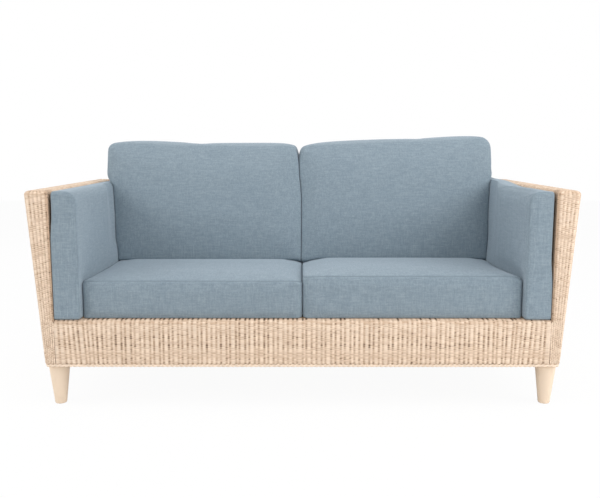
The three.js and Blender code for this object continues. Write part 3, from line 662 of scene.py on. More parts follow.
class CornerPath:
    """Marks round a corner: an optional small first arc, a face, the corner arc and a second face.

    plan(z, inset) gives the start of the first face, the sharp corner and the end of the second face;
    outward: the two faces' directions; stakes: pairs of stakes on each face."""

    def __init__(self, plan, outward, stakes, first_arc=0.0):
        shell = bpy.context.scene.sofa_shell
        self.plan, self.outward = plan, np.array(outward, float)
        a = stake_marks(0, 0, stakes[0])
        b = stake_marks(0, int(a[-1, 1]), stakes[1])
        a[:, 0] *= 0.5
        b[:, 0] = 0.5 + 0.5 * b[:, 0]
        self.marks = np.concatenate([a[:-1], b])
        self.keep = [0, len(a) - 1, len(self.marks) - 1]
        self.radius, self.first_arc, self.rim = shell.corner_radius, first_arc, shell.rim_radius

    def __call__(self, z, inset):
        """Places and outward directions in plan at a height and an inset."""
        shrink = 1 - 0.85 * inset / self.rim
        radius = self.radius * shrink
        small = self.first_arc * shrink * ease(z, DECK - 8 * MM, DECK - 1 * MM)
        start, corner, end = map(np.array, self.plan(z, inset))
        out_a, out_b = self.outward
        long_a, long_b = np.linalg.norm(corner - start), np.linalg.norm(end - corner)
        way_a, way_b = (corner - start) / long_a, (end - corner) / long_b
        arc, eighth = small * math.pi / 2, radius * math.pi / 4
        found = []

        def turn(centre, first, second, angle, size):
            out = first * math.cos(angle) + second * math.sin(angle)
            found.append((centre + out * size, out))

        for share in self.marks[:, 0]:
            if share <= 0.5:
                s = 2 * share * (arc + long_a - small - radius + eighth)
                if s < arc:
                    turn(start + (way_a - out_a) * small, -way_a, out_a, s / small, small)
                    continue
                s += small - arc
                if s <= long_a - radius:
                    found.append((start + way_a * s, out_a))
                    continue
                angle = (s - long_a + radius) / radius
            else:
                s = (2 * share - 1) * (long_b - radius + eighth)
                if s > eighth:
                    found.append((corner + way_b * (radius + s - eighth), out_b))
                    continue
                angle = math.pi / 4 + s / radius
            turn(corner + (way_b - way_a) * radius, out_a, out_b, angle, radius)
        return map(np.array, zip(*found))


class SOFA_OT_shell(bpy.types.Operator):
    """Weave the two arms, the back and the front apron"""

    bl_idname = "sofa.shell"
    bl_label = "Woven shell"

    def execute(self, context):
        shell = context.scene.sofa_shell
        radius = shell.rim_radius
        corner_run = WALL - radius
        side_front, cheek_front = FRONT + corner_run, FRONT + shell.edge_radius
        inner_foot = DECK + 0.3 * MM

        def both(x, y):
            return np.stack(np.broadcast_arrays(x, y), -1)

        def outside(rows):
            """Half width and rear edge at each row; the inner faces stand upright, without the flare."""
            z, inside = rows.z[None, :], rows.part[None, :] == "inner"
            return np.where(inside, OUTER, side_at(z)), np.where(inside, REAR, rear_at(z))

        def side_place(share, rows):
            x, rear = outside(rows)
            return both(x + 0 * share, side_front + (rear - corner_run - side_front) * share)

        def back_place(share, rows):
            x, rear = outside(rows)
            return both((x - corner_run) * (1 - share), rear + 0 * share)

        def cheek_place(share, rows):
            return both(INNER + 0 * rows.z[None, :], side_front + (cheek_front - side_front) * share)

        def apron_place(share, rows):
            x = APRON_HIGH.x * (2 * share - 1)
            swing = SWING * bell(np.abs(x) - SWING_AT, SWING_REACH)
            below = (DECK - rows.z[None, :]) * (rows.part[None, :] == "outer")
            return both(x - np.sign(x) * swing * below, FRONT + 0 * rows.z[None, :])

        def front_plan(z, inset):
            x, y = side_at(z) - inset, FRONT + inset
            return (INNER + inset, y), (x, y), (x, side_front)

        def rear_plan(z, inset):
            x, y = side_at(z) - inset, rear_at(z) - inset
            return (x, rear_at(z) - corner_run), (x, y), (side_at(z) - corner_run, y)

        front_path = CornerPath(front_plan, ((0, -1), (1, 0)), (3, 2), shell.edge_radius)
        rear_path = CornerPath(rear_plan, ((1, 0), (0, 1)), (2, 2))
        open_rows = wall_section(WALL_FOOT, RIM)
        wall_rows = wall_section(WALL_FOOT, RIM, WALL, inner_foot)
        cheek_rows = wall_section(inner_foot, RIM)
        side_marks = stake_marks(REAR - FRONT - 2 * corner_run)
        back_marks = stake_marks(OUTER - corner_run)
        cheek_marks = stake_marks(side_front - cheek_front, 1)
        for side, sign in SIDES:
            node, seed = f"arm_weave_{side}", ARM_SEEDS[side]
            corner_wall(f"woven_pillar_{side}", node, front_path, open_rows,
                        (OUTER - radius, FRONT + radius), sign, *PILLAR_FACE, seed, 0.5, (0,))
            corner_wall(f"woven_rear_corner_{side}", node, rear_path, open_rows,
                        (OUTER - radius, REAR - radius), sign, *OUTER_FACE, seed + 1)
            straight_wall(f"woven_side_{side}", node, side_marks, wall_rows, side_place, (1, 0),
                          sign, *OUTER_FACE, seed + 2)
            straight_wall(f"woven_back_{side}", "back_weave", back_marks, wall_rows, back_place, (0, 1),
                          sign, *OUTER_FACE, seed + 3)
            straight_wall(f"woven_cheek_{side}", node, cheek_marks, cheek_rows, cheek_place, (-1, 0),
                          sign, *CHEEK_FACE, seed + 4, shaded=0.5)

        # The apron's top gets dashes of painted shade towards the seat cushions, more on its left half.
        marks = stake_marks(2 * APRON_HIGH.x)
        rows = wall_section(APRON_LOW.z, DECK, APRON_HIGH.y - APRON_LOW.y, APRON_INNER_FOOT, 2 * MM)
        straight_wall("woven_apron", "apron_weave", marks, rows, apron_place, (0, -1),
                      1, *APRON_FACE, APRON_SEED, flat_top=True, smooth_ends=(0, -1),
                      top_shade_gaps=np.where(marks[:, 0] < 0.5, 0.9, 0.35))
        return {"FINISHED"}


class SOFA_OT_border(bpy.types.Operator):
    """Twist the border along the shell's lower edge"""

    bl_idname = "sofa.border"
    bl_label = "Twisted border"

    def execute(self, context):
        border = context.scene.sofa_border
        radius = context.scene.sofa_shell.corner_radius
        inset = 1.1 * border.strand
        x = BORDER_HIGH.x - inset - radius
        y0, y1 = BORDER_LOW.y + inset + radius, REAR_BORDER_HIGH.y - inset - radius
        z = (BORDER_LOW.z + BORDER_HIGH.z) / 2
        step, turn_steps, sides = 2.6 * MM, 6, 8
        # The middle of the border: along each side, then round the corner after it
        path, out = [], []
        centres = np.array([(x, y0), (x, y1), (-x, y1), (-x, y0)])
        for k, (before, centre) in enumerate(zip(np.roll(centres, 1, 0), centres)):
            n = int(np.linalg.norm(centre - before) / step)
            normal = np.array(((0, -1), (1, 0), (0, 1), (-1, 0))[k], float)
            for i in range(n):
                path.append(before + radius * normal + (centre - before) * i / n)
                out.append(normal)
            for i in range(turn_steps):
                angle = (k - 1 + i / turn_steps) * math.pi / 2
                normal = np.array([math.cos(angle), math.sin(angle)])
                path.append(centre + radius * normal)
                out.append(normal)
        path, out = np.array(path), np.array(out)
        gaps = np.linalg.norm(np.roll(path, -1, 0) - path, axis=1)
        turns = round(gaps.sum() / border.pitch)
        phase = np.concatenate([[0], np.cumsum(gaps)[:-1]]) / gaps.sum() * turns * 2 * math.pi
        outward = np.concatenate([out, np.zeros((len(out), 1))], 1)
        ring = np.arange(2 * sides * len(path)).reshape(2, sides, len(path))
        points, quads, shade, tone = [], [], [], []
        for strand in (0, 1):
            angle = phase + strand * math.pi
            middle = np.concatenate([path + 0.9 * MM * out * np.cos(angle)[:, None],
                                     (z + 2.5 * MM * np.sin(angle))[:, None]], 1)
            ahead = np.roll(middle, -1, 0) - np.roll(middle, 1, 0)
            upward = np.cross(ahead / np.linalg.norm(ahead, axis=1)[:, None], outward)
            reach = border.strand * (1 + 0.12 * np.cos(angle)[:, None])
            for k in range(sides):
                a = 2 * math.pi * k / sides
                points.append(middle + reach * (outward * math.cos(a) * 0.75 + upward * math.sin(a)))
                shade.append(0.22 * (1 - ease(np.cos(angle), -0.9, 0.3)))
                tone.append(scatter(np.floor(angle / (2 * math.pi)), strand, 5))
            quads.append(grid_quads(np.pad(ring[strand], ((0, 1), (0, 1)), "wrap")))
        rope = mesh_object("twisted_border", np.concatenate(points), np.concatenate(quads),
                           attributes={"shade": np.concatenate(shade), "tone": np.concatenate(tone)})
        dress(rope, "woven_cane", BODY, "rattan_weave",
              "border_front", "border_rear", "border_right", "border_left")
        return {"FINISHED"}


class SOFA_OT_legs(bpy.types.Operator):
    """Turn the four tapered legs"""

    bl_idname = "sofa.legs"
    bl_label = "Turned legs"

    def execute(self, context):
        wood = context.scene.sofa_wood
        foot, rounding, chamfer = wood.foot_radius, wood.foot_round, 1 * MM
        sides, round_steps, taper_steps = 56, 5, 14
        angle = np.arange(sides) / sides * 2 * math.pi
        for end in ENDS:
            for side, _ in SIDES:
                node = f"leg_{end}_{side}"
                low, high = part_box(node)
                x, y, top = (low.x + high.x) / 2, (low.y + high.y) / 2, (high.x - low.x) / 2
                # Radius and height at each ring, from the middle of the foot to the middle of the top
                profile = [(4 * MM, 0.0)]
                for k in range(round_steps + 1):
                    a = k / round_steps * math.pi / 2
                    profile.append((foot - rounding * (1 - math.sin(a)),
                                    low.z + rounding * (1 - math.cos(a))))
                for k in range(1, taper_steps + 1):
                    t = k / taper_steps
                    profile.append((foot + (top - foot) * t,
                                    low.z + rounding + (high.z - low.z - rounding - chamfer) * t))
                profile += [(top - chamfer, high.z), (5 * MM, high.z)]
                points = [np.stack([x + r * np.cos(angle), y + r * np.sin(angle), np.full(sides, z)], -1)
                          for r, z in profile]
                grid = np.arange(len(profile) * sides).reshape(-1, sides)
                leg = mesh_object(f"turned_leg_{end}_{side}", np.concatenate(points),
                                  grid_quads(np.pad(grid, ((0, 0), (0, 1)), "wrap").T),
                                  [grid[0][::-1], grid[-1]])
                dress(leg, "leg_wood", BODY, "leg_wood", node)
        return {"FINISHED"}


# Cushions: a fine box lattice shaped to the sewn form, then swelled as cloth, laid against its
# neighbours and drawn in at the seams.

EDGE_STEPS = np.array([0.0, 2.5, 5.5, 9.5, 15.0, 22.5, 32.0]) * MM


def box_lattice(counts):
    """Integer places and quads of a box's surface, cells counted along each axis."""
    grid = np.stack(np.meshgrid(*[np.arange(n + 1) for n in counts], indexing="ij"), -1)
    skin = ((grid == 0) | (grid == np.array(counts))).any(-1)
    places = grid[skin]
    number = np.full(skin.shape, -1)
    number[skin] = np.arange(len(places))
    quads = []
    for axis in range(3):
        for end in (0, counts[axis]):
            cells = grid_quads(np.take(number, end, axis))
            flip = (end == 0) != (axis == 1)
            quads.append(cells[:, ::-1] if flip else cells)
    return places, np.concatenate(quads)


def spread(count, half):
    """Places from -half to half, with set steps near both ends."""
    steps = EDGE_STEPS[EDGE_STEPS < half * 0.62]
    middle = count + 1 - 2 * len(steps)
    inner = half - steps[-1]
    between = np.linspace(-inner, inner, middle + 2)[1:-1]
    return np.concatenate([-half + steps, between, half - steps[::-1]])


def soft_box(half, counts, axis, corners, edges):
    """Points and quads of a box that is rounded all over.

    corners: radii seen along the axis, for (low, low), (high, low), (high, high), (low, high);
    edges: radii round the low and the high end of the axis."""
    cells, quads = box_lattice(counts)
    at = np.stack([spread(n, h)[cells[:, i]] for i, (n, h) in enumerate(zip(counts, half))], -1)
    half = np.array(half)
    plan = [i for i in range(3) if i != axis]
    first, second = at[:, plan[0]] > 0, at[:, plan[1]] > 0
    radius = np.select([~first & ~second, first & ~second, first & second], corners[:3], corners[3])
    edge = np.where(at[:, axis] > 0, edges[1], edges[0])
    core = half[plan] - radius[:, None]
    kept = np.clip(at[:, plan], -core, core)
    away = at[:, plan] - kept
    size = np.linalg.norm(away, axis=1)
    most = np.abs(away).max(1)
    at[:, plan] = kept + away * (most / np.maximum(size, 1e-9))[:, None]
    span = np.abs(at[:, plan]) - core
    cornered = (span > 0).all(1)
    reach = np.where(cornered, np.linalg.norm(np.maximum(span, 0), axis=1), span.max(1))
    depth = np.clip(radius - reach, 0, None)
    rise = np.abs(at[:, axis])
    near_side, near_top = np.clip(edge - depth, 0, None), np.clip(rise - (half[axis] - edge), 0, None)
    size = np.hypot(near_side, near_top)
    shrink = np.where(size > 1e-9, np.maximum(near_side, near_top) / np.maximum(size, 1e-9), 1)
    out = np.where(cornered[:, None], np.maximum(span, 0) * np.sign(at[:, plan]),
                   np.where(span == span.max(1)[:, None], np.sign(at[:, plan]), 0.0))
    out = out / np.maximum(np.linalg.norm(out, axis=1), 1e-9)[:, None]
    at[:, plan] -= out * (near_side * (1 - shrink))[:, None]
    at[:, axis] = np.sign(at[:, axis]) * (rise - near_top * (1 - shrink))
    return at, quads, cells


def crowd(at, half, axis, side, keep, reach):
    """Crowds the points near one side of a box towards it, so that the side lies flatter."""
    gap = half[axis] - side * at[:, axis]
    at[:, axis] = side * (half[axis] - gap * (keep + (1 - keep) * ease(gap, 0, reach)))


def seam_distance(at, cells, counts, axis):
    """Distance to the two boxing seams, which run round both ends of the axis."""
    at_end = (cells == 0) | (cells == np.array(counts))
    seams = at[at_end[:, axis] & np.delete(at_end, axis, 1).any(1)]
    found = np.full(len(at), 1e9)
    for start in range(0, len(seams), 64):
        gap = np.linalg.norm(at[:, None, :] - seams[None, start:start + 64, :], axis=2).min(1)
        found = np.minimum(found, gap)
    return found


def read_points(mesh, field="co"):
    values = np.zeros(len(mesh.vertices) * 3, np.float32)
    mesh.vertices.foreach_get(field, values)
    return values.reshape(-1, 3).astype(float)


def write_points(mesh, at):
    mesh.vertices.foreach_set("co", at.ravel())
    mesh.update()


CLOTH = dict(use_pressure=True, quality=6, mass=0.4, tension_stiffness=25.0, compression_stiffness=25.0,
             shear_stiffness=12.0, bending_stiffness=2.5, air_damping=2.0, pin_stiffness=1.0)


def swell(piece, held, cap):
    """Runs the piece as cloth under pressure, holding its held share, and caps the movement."""
    settings = bpy.context.scene.sofa_cushions
    rest = read_points(piece.data)
    group = piece.vertex_groups.new(name="held")
    for i in np.nonzero(held > 0.01)[0]:
        group.add([int(i)], float(held[i]), "REPLACE")
    cloth = piece.modifiers.new("swell", "CLOTH")
    for key, value in CLOTH.items():
        setattr(cloth.settings, key, value)
    cloth.settings.uniform_pressure_force = settings.pressure
    cloth.settings.effector_weights.gravity = 0.0
    cloth.settings.vertex_group_mass = "held"
    cloth.point_cache.frame_start = 1
    cloth.point_cache.frame_end = settings.frames
    scene = bpy.context.scene
    for number in range(1, settings.frames + 1):
        scene.frame_set(number)
    shape = piece.evaluated_get(bpy.context.evaluated_depsgraph_get())
    moved = read_points(shape.data)
    piece.modifiers.remove(cloth)
    piece.vertex_groups.remove(group)
    scene.frame_set(1)
    step = moved - rest
    share = np.minimum(1, cap / np.maximum(np.linalg.norm(step, axis=1), 1e-9))
    write_points(piece.data, rest + step * share[:, None])


def subdivide(piece):
    finer = piece.modifiers.new("finer", "SUBSURF")
    finer.levels = finer.render_levels = 1
    graph = bpy.context.evaluated_depsgraph_get()
    mesh = bpy.data.meshes.new_from_object(piece.evaluated_get(graph), preserve_all_data_layers=True,
                                           depsgraph=graph)
    old = piece.data
    piece.modifiers.clear()
    piece.data = mesh
    bpy.data.meshes.remove(old)
    mesh.polygons.foreach_set("use_smooth", [True] * len(mesh.polygons))


# The deepest seam groove, which gets the full line of painted shade
DEEP_GROOVE = 1.8 * MM


def draw_in_seams(piece, groove):
    """Sinks the surface along the seams and paints shade along them, darker the deeper the groove;
    seam_gap holds each point's distance from them.
    """
    width = bpy.context.scene.sofa_cushions.groove_width
    mesh = piece.data
    gap = np.zeros(len(mesh.vertices), np.float32)
    mesh.attributes["seam_gap"].data.foreach_get("value", gap)
    sunk = groove * bell(gap, width)
    at = read_points(mesh) - read_points(mesh, "normal") * sunk[:, None]
    mesh.vertices.foreach_set("co", at.ravel())
    # The seam attribute holds painted shade along the groove
    layer = mesh.attributes.new("seam", "FLOAT", "POINT")
    layer.data.foreach_set("value", (groove / DEEP_GROOVE * bell(gap, 0.36 * width)).astype(np.float32))
    mesh.attributes.remove(mesh.attributes["seam_gap"])
    mesh.update()


def make_cushion(node, at, quads, seam_gap, held, cap, rest_on, groove):
    """Swells, lays down, smooths and finishes a cushion. rest_on keeps points off its neighbours."""
    piece = mesh_object(f"sewn_{node}", rest_on(at), quads, attributes={"seam_gap": seam_gap})
    swell(piece, held, cap)
    write_points(piece.data, rest_on(read_points(piece.data)))
    subdivide(piece)
    draw_in_seams(piece, groove)
    dress(piece, "linen", node, "cushion_fabric", node)


# Where the cushions meet: the back cushion presses the seat's rear down and the arm pad's rear out.
# Half the gap between two cushions, and the front of the back cushions' feet
SPLIT, BACK_FRONT = 0.4 * MM, 0.082
# A seat's outer side, rear side and seam height, and the two ends of its top seam
SEAT_OUTER, SEAT_REAR, SEAT_SEAM = 0.7342, 0.352, 0.430
SEAM_FRONT, SEAM_REAR = -0.405, 0.34
# How steeply its top falls under the back cushion
SEAT_SLOPE = 13 / 227
# Above this height a pad's inner face stands free of the seat.
PAD_FREE = 0.455
# A back cushion's size as sewn, the depth of its foot, and how far each face leans back
BACK_WIDTH, BACK_THICK, BACK_HEIGHT = 0.7337 - SPLIT, 0.196, 0.465
BACK_FOOT, FRONT_LEAN, REAR_LEAN = 0.212, 0.114, 0.078
# Height of a seat's top seam at its front, and where the back cushion's foot begins
SEAT_HEIGHTS = {"right": (0.4425, 0.4200), "left": (0.4262, 0.4152)}
# Where each arm pad's inner face stands at each height, pressed out by the back cushion
PAD_HEIGHTS = (0.42, 0.46, 0.50, 0.60, 0.69, 0.706, 0.717, 0.7265, 0.738, 0.756, 0.84, 0.92)
PAD_FACE = {
    "right": (PAD_HEIGHTS, (0.7345, 0.739, 0.744, 0.748, 0.755, 0.757, 0.759, 0.762, 0.767, 0.772,
                            0.769, 0.766)),
    "left": (PAD_HEIGHTS, (0.7345, 0.738, 0.747, 0.753, 0.762, 0.765, 0.771, 0.781, 0.789, 0.793,
                           0.792, 0.788)),
}
# The crest of each back cushion: places from the joint outwards, and heights
BACK_TOPS = {
    "right": ((0.0, 0.005, 0.011, 0.020, 0.042, 0.12, 0.25, 0.34, 0.42, 0.50, 0.58, 0.66, 0.72, 0.765,
               0.80),
              (0.828, 0.844, 0.861, 0.869, 0.873, 0.880, 0.8855, 0.8885, 0.8925, 0.8935, 0.898, 0.9005,
               0.904, 0.907, 0.907)),
    "left": ((0.0, 0.005, 0.011, 0.018, 0.03, 0.06, 0.10, 0.20, 0.30, 0.45, 0.55, 0.64, 0.72, 0.80),
             (0.835, 0.856, 0.870, 0.875, 0.877, 0.876, 0.8745, 0.874, 0.8755, 0.8765, 0.880, 0.885,
              0.885, 0.879)),
}
# The back wall's inner face, a little behind the pads' rear ends
BACK_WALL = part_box("arm_cushion_right")[1].y + 1 * MM


def joint_at(y, z):
    """Where the two back cushions meet: the right one presses into the left one near the top."""
    return 3.5 * MM * np.sin((y - 0.08) * 28) - 6 * MM - 7 * MM * ease(z, 0.66, 0.78)


def seat_top_at(y, side):
    """Height of a seat's top seam along the depth, without the crown."""
    front, rear = SEAT_HEIGHTS[side]
    fall = SEAT_SLOPE * (SEAM_REAR - BACK_FRONT)
    return np.interp(y, [SEAM_FRONT, BACK_FRONT, SEAM_REAR], [front, rear, rear - fall])


def seat_droop(x, y, sign):
    """How far a seat's top falls away beside the other seat and beside the pad."""
    by_split, at_split, by_pad, at_pad = (36, 12, 18, 13) if sign > 0 else (17, 8, 14, 5)
    split = bell(x * sign, by_split * MM) * (3 + at_split * ease(y, -0.06, 0.08))
    pad = bell(SEAT_OUTER - x * sign, by_pad * MM) * at_pad * (1 - 0.8 * ease(y, -0.1, 0.08))
    return (split + pad) * MM


class SOFA_OT_seat_cushions(bpy.types.Operator):
    """Sew and fill the two seat cushions"""

    bl_idname = "sofa.seat_cushions"
    bl_label = "Seat cushions"

    def execute(self, context):
        for side, sign in SIDES:
            node = f"seat_cushion_{side}"
            low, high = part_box(node)
            middle_x, middle_y = (low.x + high.x) / 2, (low.y + high.y) / 2
            half = ((high.x - low.x) / 2 + 1.5 * MM, (high.y - low.y) / 2 + 1.5 * MM,
                    (SEAT_SEAM - low.z) / 2)
            counts, radii = (46, 46, 18), (24 * MM, 24 * MM, 18 * MM, 18 * MM)
            at, quads, cells = soft_box(half, counts, 2, radii, (3.5 * MM, 14 * MM))
            crowd(at, half, 0, sign, 0.5, 50 * MM)
            crowd(at, half, 0, -sign, 0.8, 50 * MM)
            seam_gap = seam_distance(at, cells, counts, 2)
            u, v = at[:, 0] / half[0], at[:, 1] / half[1]
            rise = (at[:, 2] + half[2]) / (2 * half[2])
            y = at[:, 1] + middle_y
            dome = (1 - np.abs(u) ** 2.6) * (1 - np.abs(v) ** 2.6) * (1 - ease(y, -0.10, 0.10))
            top = seat_top_at(y, side)
            # The upper edges droop at the sides, most where the two seats meet the back.
            droop = seat_droop(at[:, 0] + middle_x, y, sign)
            crown = 9 * MM * dome * ease(rise, 0.5, 1.0)
            at[:, 2] = low.z + 0.1 * MM + (top - droop - low.z) * rise + crown
            press = 6 * MM * (1 - 1.25 * ease(-v, 0.85, 1.0))
            at[:, 0] += middle_x - sign * press * ease(-sign * u, 0.9, 1.0)
            # The lower front edge lies flat on the apron.
            at[:, 1] = y - 5 * MM * (1 - ease(rise, 0.0, 0.07)) * ease(-v, 0.8, 1.0)

            def rest_on(points):
                x = sign * np.clip(points[:, 0] * sign, SPLIT, SEAT_OUTER)
                y = np.clip(points[:, 1], FRONT + 30 * MM, SEAT_REAR)
                z = np.maximum(points[:, 2], low.z - 0.2 * MM)
                under = seat_top_at(y, side) - seat_droop(x, y, sign)
                z = np.where(y > BACK_FRONT - 10 * MM, np.minimum(z, under), z)
                return np.stack([x, y, z], -1)

            held = np.maximum(at[:, 2] < low.z + 6 * MM, 0.75 * bell(seam_gap, 8 * MM))
            make_cushion(node, at, quads, seam_gap, held, 9 * MM, rest_on, DEEP_GROOVE)
        return {"FINISHED"}


class SOFA_OT_arm_cushions(bpy.types.Operator):
    """Sew and fill the two arm pads"""

    bl_idname = "sofa.arm_cushions"
    bl_label = "Arm pads"

    def execute(self, context):
        for side, sign in SIDES:
            node = f"arm_cushion_{side}"
            low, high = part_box(node)
            inner, outer = min(abs(low.x), abs(high.x)), INNER - 0.4 * MM
            front = low.y - 10 * MM
            half = ((outer - inner) / 2 + 1.2 * MM, (high.y - front) / 2, (high.z - low.z) / 2)
            counts, radii = (18, 46, 34), (12 * MM, 10 * MM, 17 * MM, 37 * MM)
            at, quads, cells = soft_box(half, counts, 1, radii, (10 * MM, 11 * MM))
            crowd(at, half, 0, 1, 0.35, 30 * MM)
            seam_gap = seam_distance(at, cells, counts, 1)
            rise = at[:, 2] / (2 * half[2]) + 0.5
            u = at[:, 0] / half[0]
            # The side next to the arm stands off it a little: high on both pads, lower on the right one.
            draw = 7.5 * MM * ease(rise, *((0.25, 0.5) if sign > 0 else (0.6, 0.85)))
            at[:, 0] -= np.where(u > 0, draw * u, -1.2 * MM * np.sin(np.pi * rise) * u)
            at += np.array([(inner + outer) / 2, (front + high.y) / 2, (low.z + high.z) / 2])
            # The rear of the right-hand pad stands proud of the rim.
            at[:, 2] += (15 if sign > 0 else 1) * MM * ease(at[:, 1], -0.15, 0.15) * ease(rise, 0.6, 1.0)
            at[:, 0] *= sign
            if sign < 0:
                quads = quads[:, ::-1]

            def rest_on(points):
                x, y, z = points[:, 0] * sign, points[:, 1], points[:, 2]
                pressed = np.interp(z, *PAD_FACE[side]) + 0.2 * MM
                face = inner + np.clip(pressed - inner, 0, None) * ease(y, -0.05, 0.08)
                free = (z > PAD_FREE) & (y < -0.06)
                x = np.where(free, np.maximum(x, inner - 5 * MM), np.maximum(x, face))
                x = sign * np.minimum(x, np.where(z > RIM, outer + 4 * MM, outer))
                y = np.clip(y, front - 1.5 * MM, high.y + 0.5 * MM)
                return np.stack([x, y, np.maximum(z, low.z + 0.2 * MM)], -1)

            held = np.maximum(at[:, 2] < low.z + 6 * MM, 0.7 * bell(seam_gap, 8 * MM))
            make_cushion(node, at, quads, seam_gap, held, 4 * MM, rest_on, 0.7 * MM)
        return {"FINISHED"}


class SOFA_OT_back_cushions(bpy.types.Operator):
    """Sew and fill the two back cushions"""

    bl_idname = "sofa.back_cushions"
    bl_label = "Back cushions"

    def execute(self, context):
        for side, sign in SIDES:
            node = f"back_cushion_{side}"
            foot = SEAT_HEIGHTS[side][1] + 0.3 * MM
            top_xs, top_zs = BACK_TOPS[side]
            top_radius, split_radius = (47 * MM, 44 * MM) if sign > 0 else (29 * MM, 52 * MM)
            half = (BACK_WIDTH / 2, BACK_THICK / 2, BACK_HEIGHT / 2)
            counts, radii = (48, 22, 38), (30 * MM, 14 * MM, top_radius, split_radius)
            at, quads, cells = soft_box(half, counts, 1, radii, (32 * MM, 34 * MM))
            # It lies flat against the other back cushion, the arm pad and the seat.
            rise = at[:, 2] / BACK_HEIGHT + 0.5
            crowd(at, half, 0, 1, 0.3 + 0.7 * ease(rise, 0.56, 0.68), 60 * MM)
            crowd(at, half, 0, -1, 0.65 - 0.3 * ease(rise, 0.8, 0.93), 60 * MM)
            crowd(at, half, 2, -1, 0.3 + 0.5 * bell(at[:, 0] + half[0], 30 * MM), 60 * MM)
            seam_gap = seam_distance(at, cells, counts, 1)
            u, v, w = at[:, 0] / half[0], at[:, 1] / half[1], at[:, 2] / half[2]
            rise = at[:, 2] / BACK_HEIGHT + 0.5
            # The front swells most in the middle.
            dome = (1 - np.abs(u) ** 2.4) * (1 - np.abs(w) ** 2.4)
            front = BACK_FRONT + 3 * MM + FRONT_LEAN * rise - 15 * MM * dome
            rear = BACK_FRONT + BACK_FOOT + REAR_LEAN * rise - 6 * MM + 4 * MM * dome
            # Height and width at each point: the head follows the crest, the side leans out.
            z = foot + (np.interp((u + 1) / 2 * 0.8, top_xs, top_zs) - foot) * rise
            y = front + (rear - front) * (v + 1) / 2
            side_x = np.interp(z, *PAD_FACE[side]) + 1.5 * MM + 4.5 * MM * (1 - ease(z, 0.70, 0.75))
            inner_x = sign * joint_at(y, z) - (8 - 7 * ease(rise, 0.8, 0.93)) * MM
            x = inner_x + (u + 1) / 2 * (side_x - inner_x)
            z -= (SEAT_SLOPE * (y - BACK_FRONT) + 2.5 * MM + seat_droop(sign * x, y, sign)) * (
                1 - ease(rise, 0.0, 0.3))
            at = np.stack([sign * x, y, z], -1)
            if sign < 0:
                quads = quads[:, ::-1]

            def rest_on(points):
                x, y, z = points.T
                z = np.maximum(z, foot - SEAT_SLOPE * (y - BACK_FRONT) - seat_droop(x, y, sign))
                side_x = np.interp(z, *PAD_FACE[side]) - 0.2 * MM
                x = sign * np.clip(x * sign, sign * joint_at(y, z) + SPLIT, side_x)
                wall = BACK_WALL + 0.9 * np.maximum(z - RIM - 4 * MM, 0)
                return np.stack([x, np.minimum(y, wall), z], -1)

            held = np.maximum(0.9 * (rise < 0.02), 0.45 * bell(seam_gap, 10 * MM))
            make_cushion(node, at, quads, seam_gap, held, 12 * MM, rest_on, 0.4 * MM)
        return {"FINISHED"}


class SOFA_OT_finishes(bpy.types.Operator):
    """Make the materials and put them on the frame's poles, slats, blocks and bolts"""

    bl_idname = "sofa.finishes"
    bl_label = "Finishes"

    def execute(self, context):
        wood = context.scene.sofa_wood
        grain = grain_group()
        weave_material(grain)
        linen_material(thread_group())
        wood_material("leg_wood", wood.leg_color, (1.0, 1.0, 0.07), 70.0, 0.42, grain, 0.9)
        slat = wood_material("slat_wood", wood.slat_color, (1.0, 0.06, 1.0), 60.0, 0.6, grain)
        by_slot = {
            "rattan_pole": pole_material(grain), "frame_wood": slat, "bolt_steel": steel_material(grain)}
        for part in frame["record"]["subparts"]:
            material = by_slot.get(part["material_slot"])
            if material:
                mesh = frame["nodes"][part["node"]].data
                mesh.materials.clear()
                mesh.materials.append(material)
        return {"FINISHED"}


# The soft lamps: place, and the height on the middle line at which each one is aimed
LAMPS = {
    "key": ((3.1, -1.3, 2.3), 0.5),
    "fill": ((-3.1, -1.3, 2.3), 0.5),
    "front": ((1.8, -4.0, 1.5), 0.5),
    "top": ((0.0, -0.6, 3.6), 0.4),
    "rear": ((-0.8, 4.2, 1.4), 0.4),
}
LAMP_SIZE = 2.6
# Half the width of the white floor, in metres
FLOOR_HALF = 9
WHITE = (1, 1, 1, 1)


def area_lamp(name, place, aim, power):
    light = bpy.data.lights.new(name, "AREA")
    light.shape, light.size, light.energy = "DISK", LAMP_SIZE, power
    lamp = bpy.data.objects.new(name, light)
    bpy.context.scene.collection.objects.link(lamp)
    lamp.location = place
    x, y, z = place
    lamp.rotation_euler = (math.atan2(math.hypot(x, y), z - aim), 0.0, math.atan2(-y, -x) - math.pi / 2)


def seen_and_lit(owner, output, lit, seen, share):
    """Gives a material or world one shader for the light it sheds and another for how it looks.

    lit and seen: the kind of shader and its values; share: how much of seen is mixed in."""
    owner.use_nodes = True
    tree = owner.node_tree
    tree.nodes.clear()
    path = tree.nodes.new("ShaderNodeLightPath").outputs
    looked_at = math_node(tree, "MAXIMUM", path["Is Camera Ray"], math_node(
        tree, "MAXIMUM", path["Is Glossy Ray"], path["Is Transmission Ray"]))
    mix = add_node(tree, "ShaderNodeMixShader", {
        0: math_node(tree, "MULTIPLY", looked_at, share),
        1: add_node(tree, *lit).outputs[0],
        2: add_node(tree, *seen).outputs[0]})
    tree.links.new(mix.outputs[0], tree.nodes.new(output).inputs[0])


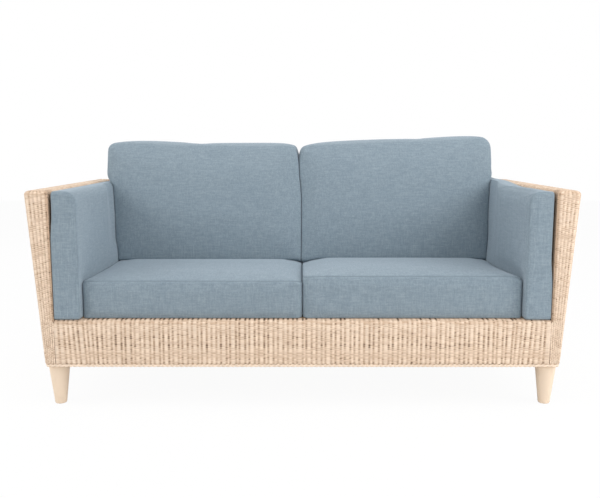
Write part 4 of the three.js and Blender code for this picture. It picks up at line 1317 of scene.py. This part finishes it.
class SOFA_OT_stage(bpy.types.Operator):
    """Set up the camera, the white floor and the soft light"""

    bl_idname = "sofa.stage"
    bl_label = "Stage"

    def execute(self, context):
        scene, stage = context.scene, context.scene.sofa_stage
        scene.view_settings.view_transform = "Standard"
        data = bpy.data.cameras.new("photo_camera")
        data.sensor_width, data.lens = 36.0, stage.lens
        camera = bpy.data.objects.new("photo_camera", data)
        scene.collection.objects.link(camera)
        camera.location = (-6.5 * MM, -stage.camera_distance, stage.camera_height)
        camera.rotation_euler = (math.pi / 2 - stage.camera_pitch, 0.0, math.radians(0.04))
        scene.camera = camera

        corners = FLOOR_HALF * np.array([(-1, -1, 0), (1, -1, 0), (1, 1, 0), (-1, 1, 0)])
        floor = mesh_object("floor", corners, [[0, 1, 2, 3]])
        material = bpy.data.materials.new("floor_white")
        seen_and_lit(material, "ShaderNodeOutputMaterial",
                     ("ShaderNodeBsdfDiffuse", {"Color": (0.9, 0.9, 0.9, 1)}),
                     ("ShaderNodeEmission", {"Color": WHITE, "Strength": 1.0}), 0.95)
        floor.data.materials.append(material)

        scene.world = bpy.data.worlds.new("studio")
        seen_and_lit(scene.world, "ShaderNodeOutputWorld",
                     ("ShaderNodeBackground", {"Color": WHITE, "Strength": stage.world_light}),
                     ("ShaderNodeBackground", {"Color": WHITE, "Strength": 1.0}), 1.0)

        for name, (place, aim) in LAMPS.items():
            area_lamp(f"{name}_lamp", place, aim, getattr(stage, f"{name}_power"))
        return {"FINISHED"}


class SOFA_PT_panel(bpy.types.Panel):
    """Lists the sofa's operators in the sidebar"""

    bl_label = "Rattan sofa"
    bl_idname = "SOFA_PT_panel"
    bl_space_type = "VIEW_3D"
    bl_region_type = "UI"
    bl_category = "Sofa"

    def draw(self, context):
        for operator in OPERATORS:
            self.layout.operator(operator.bl_idname)


OPERATORS = (SOFA_OT_finishes, SOFA_OT_shell, SOFA_OT_border, SOFA_OT_legs, SOFA_OT_seat_cushions,
             SOFA_OT_arm_cushions, SOFA_OT_back_cushions, SOFA_OT_stage)


def register():
    for kind in (*SETTINGS.values(), *OPERATORS, SOFA_PT_panel):
        bpy.utils.register_class(kind)
    for name, kind in SETTINGS.items():
        setattr(bpy.types.Scene, name, PointerProperty(type=kind))


def unregister():
    for name in SETTINGS:
        delattr(bpy.types.Scene, name)
    for kind in reversed((*SETTINGS.values(), *OPERATORS, SOFA_PT_panel)):
        bpy.utils.unregister_class(kind)


def main():
    register()
    bpy.ops.sofa.finishes()
    bpy.ops.sofa.shell()
    bpy.ops.sofa.border()
    bpy.ops.sofa.legs()
    bpy.ops.sofa.seat_cushions()
    bpy.ops.sofa.arm_cushions()
    bpy.ops.sofa.back_cushions()
    bpy.ops.sofa.stage()


if __name__ == "__main__":
    main()
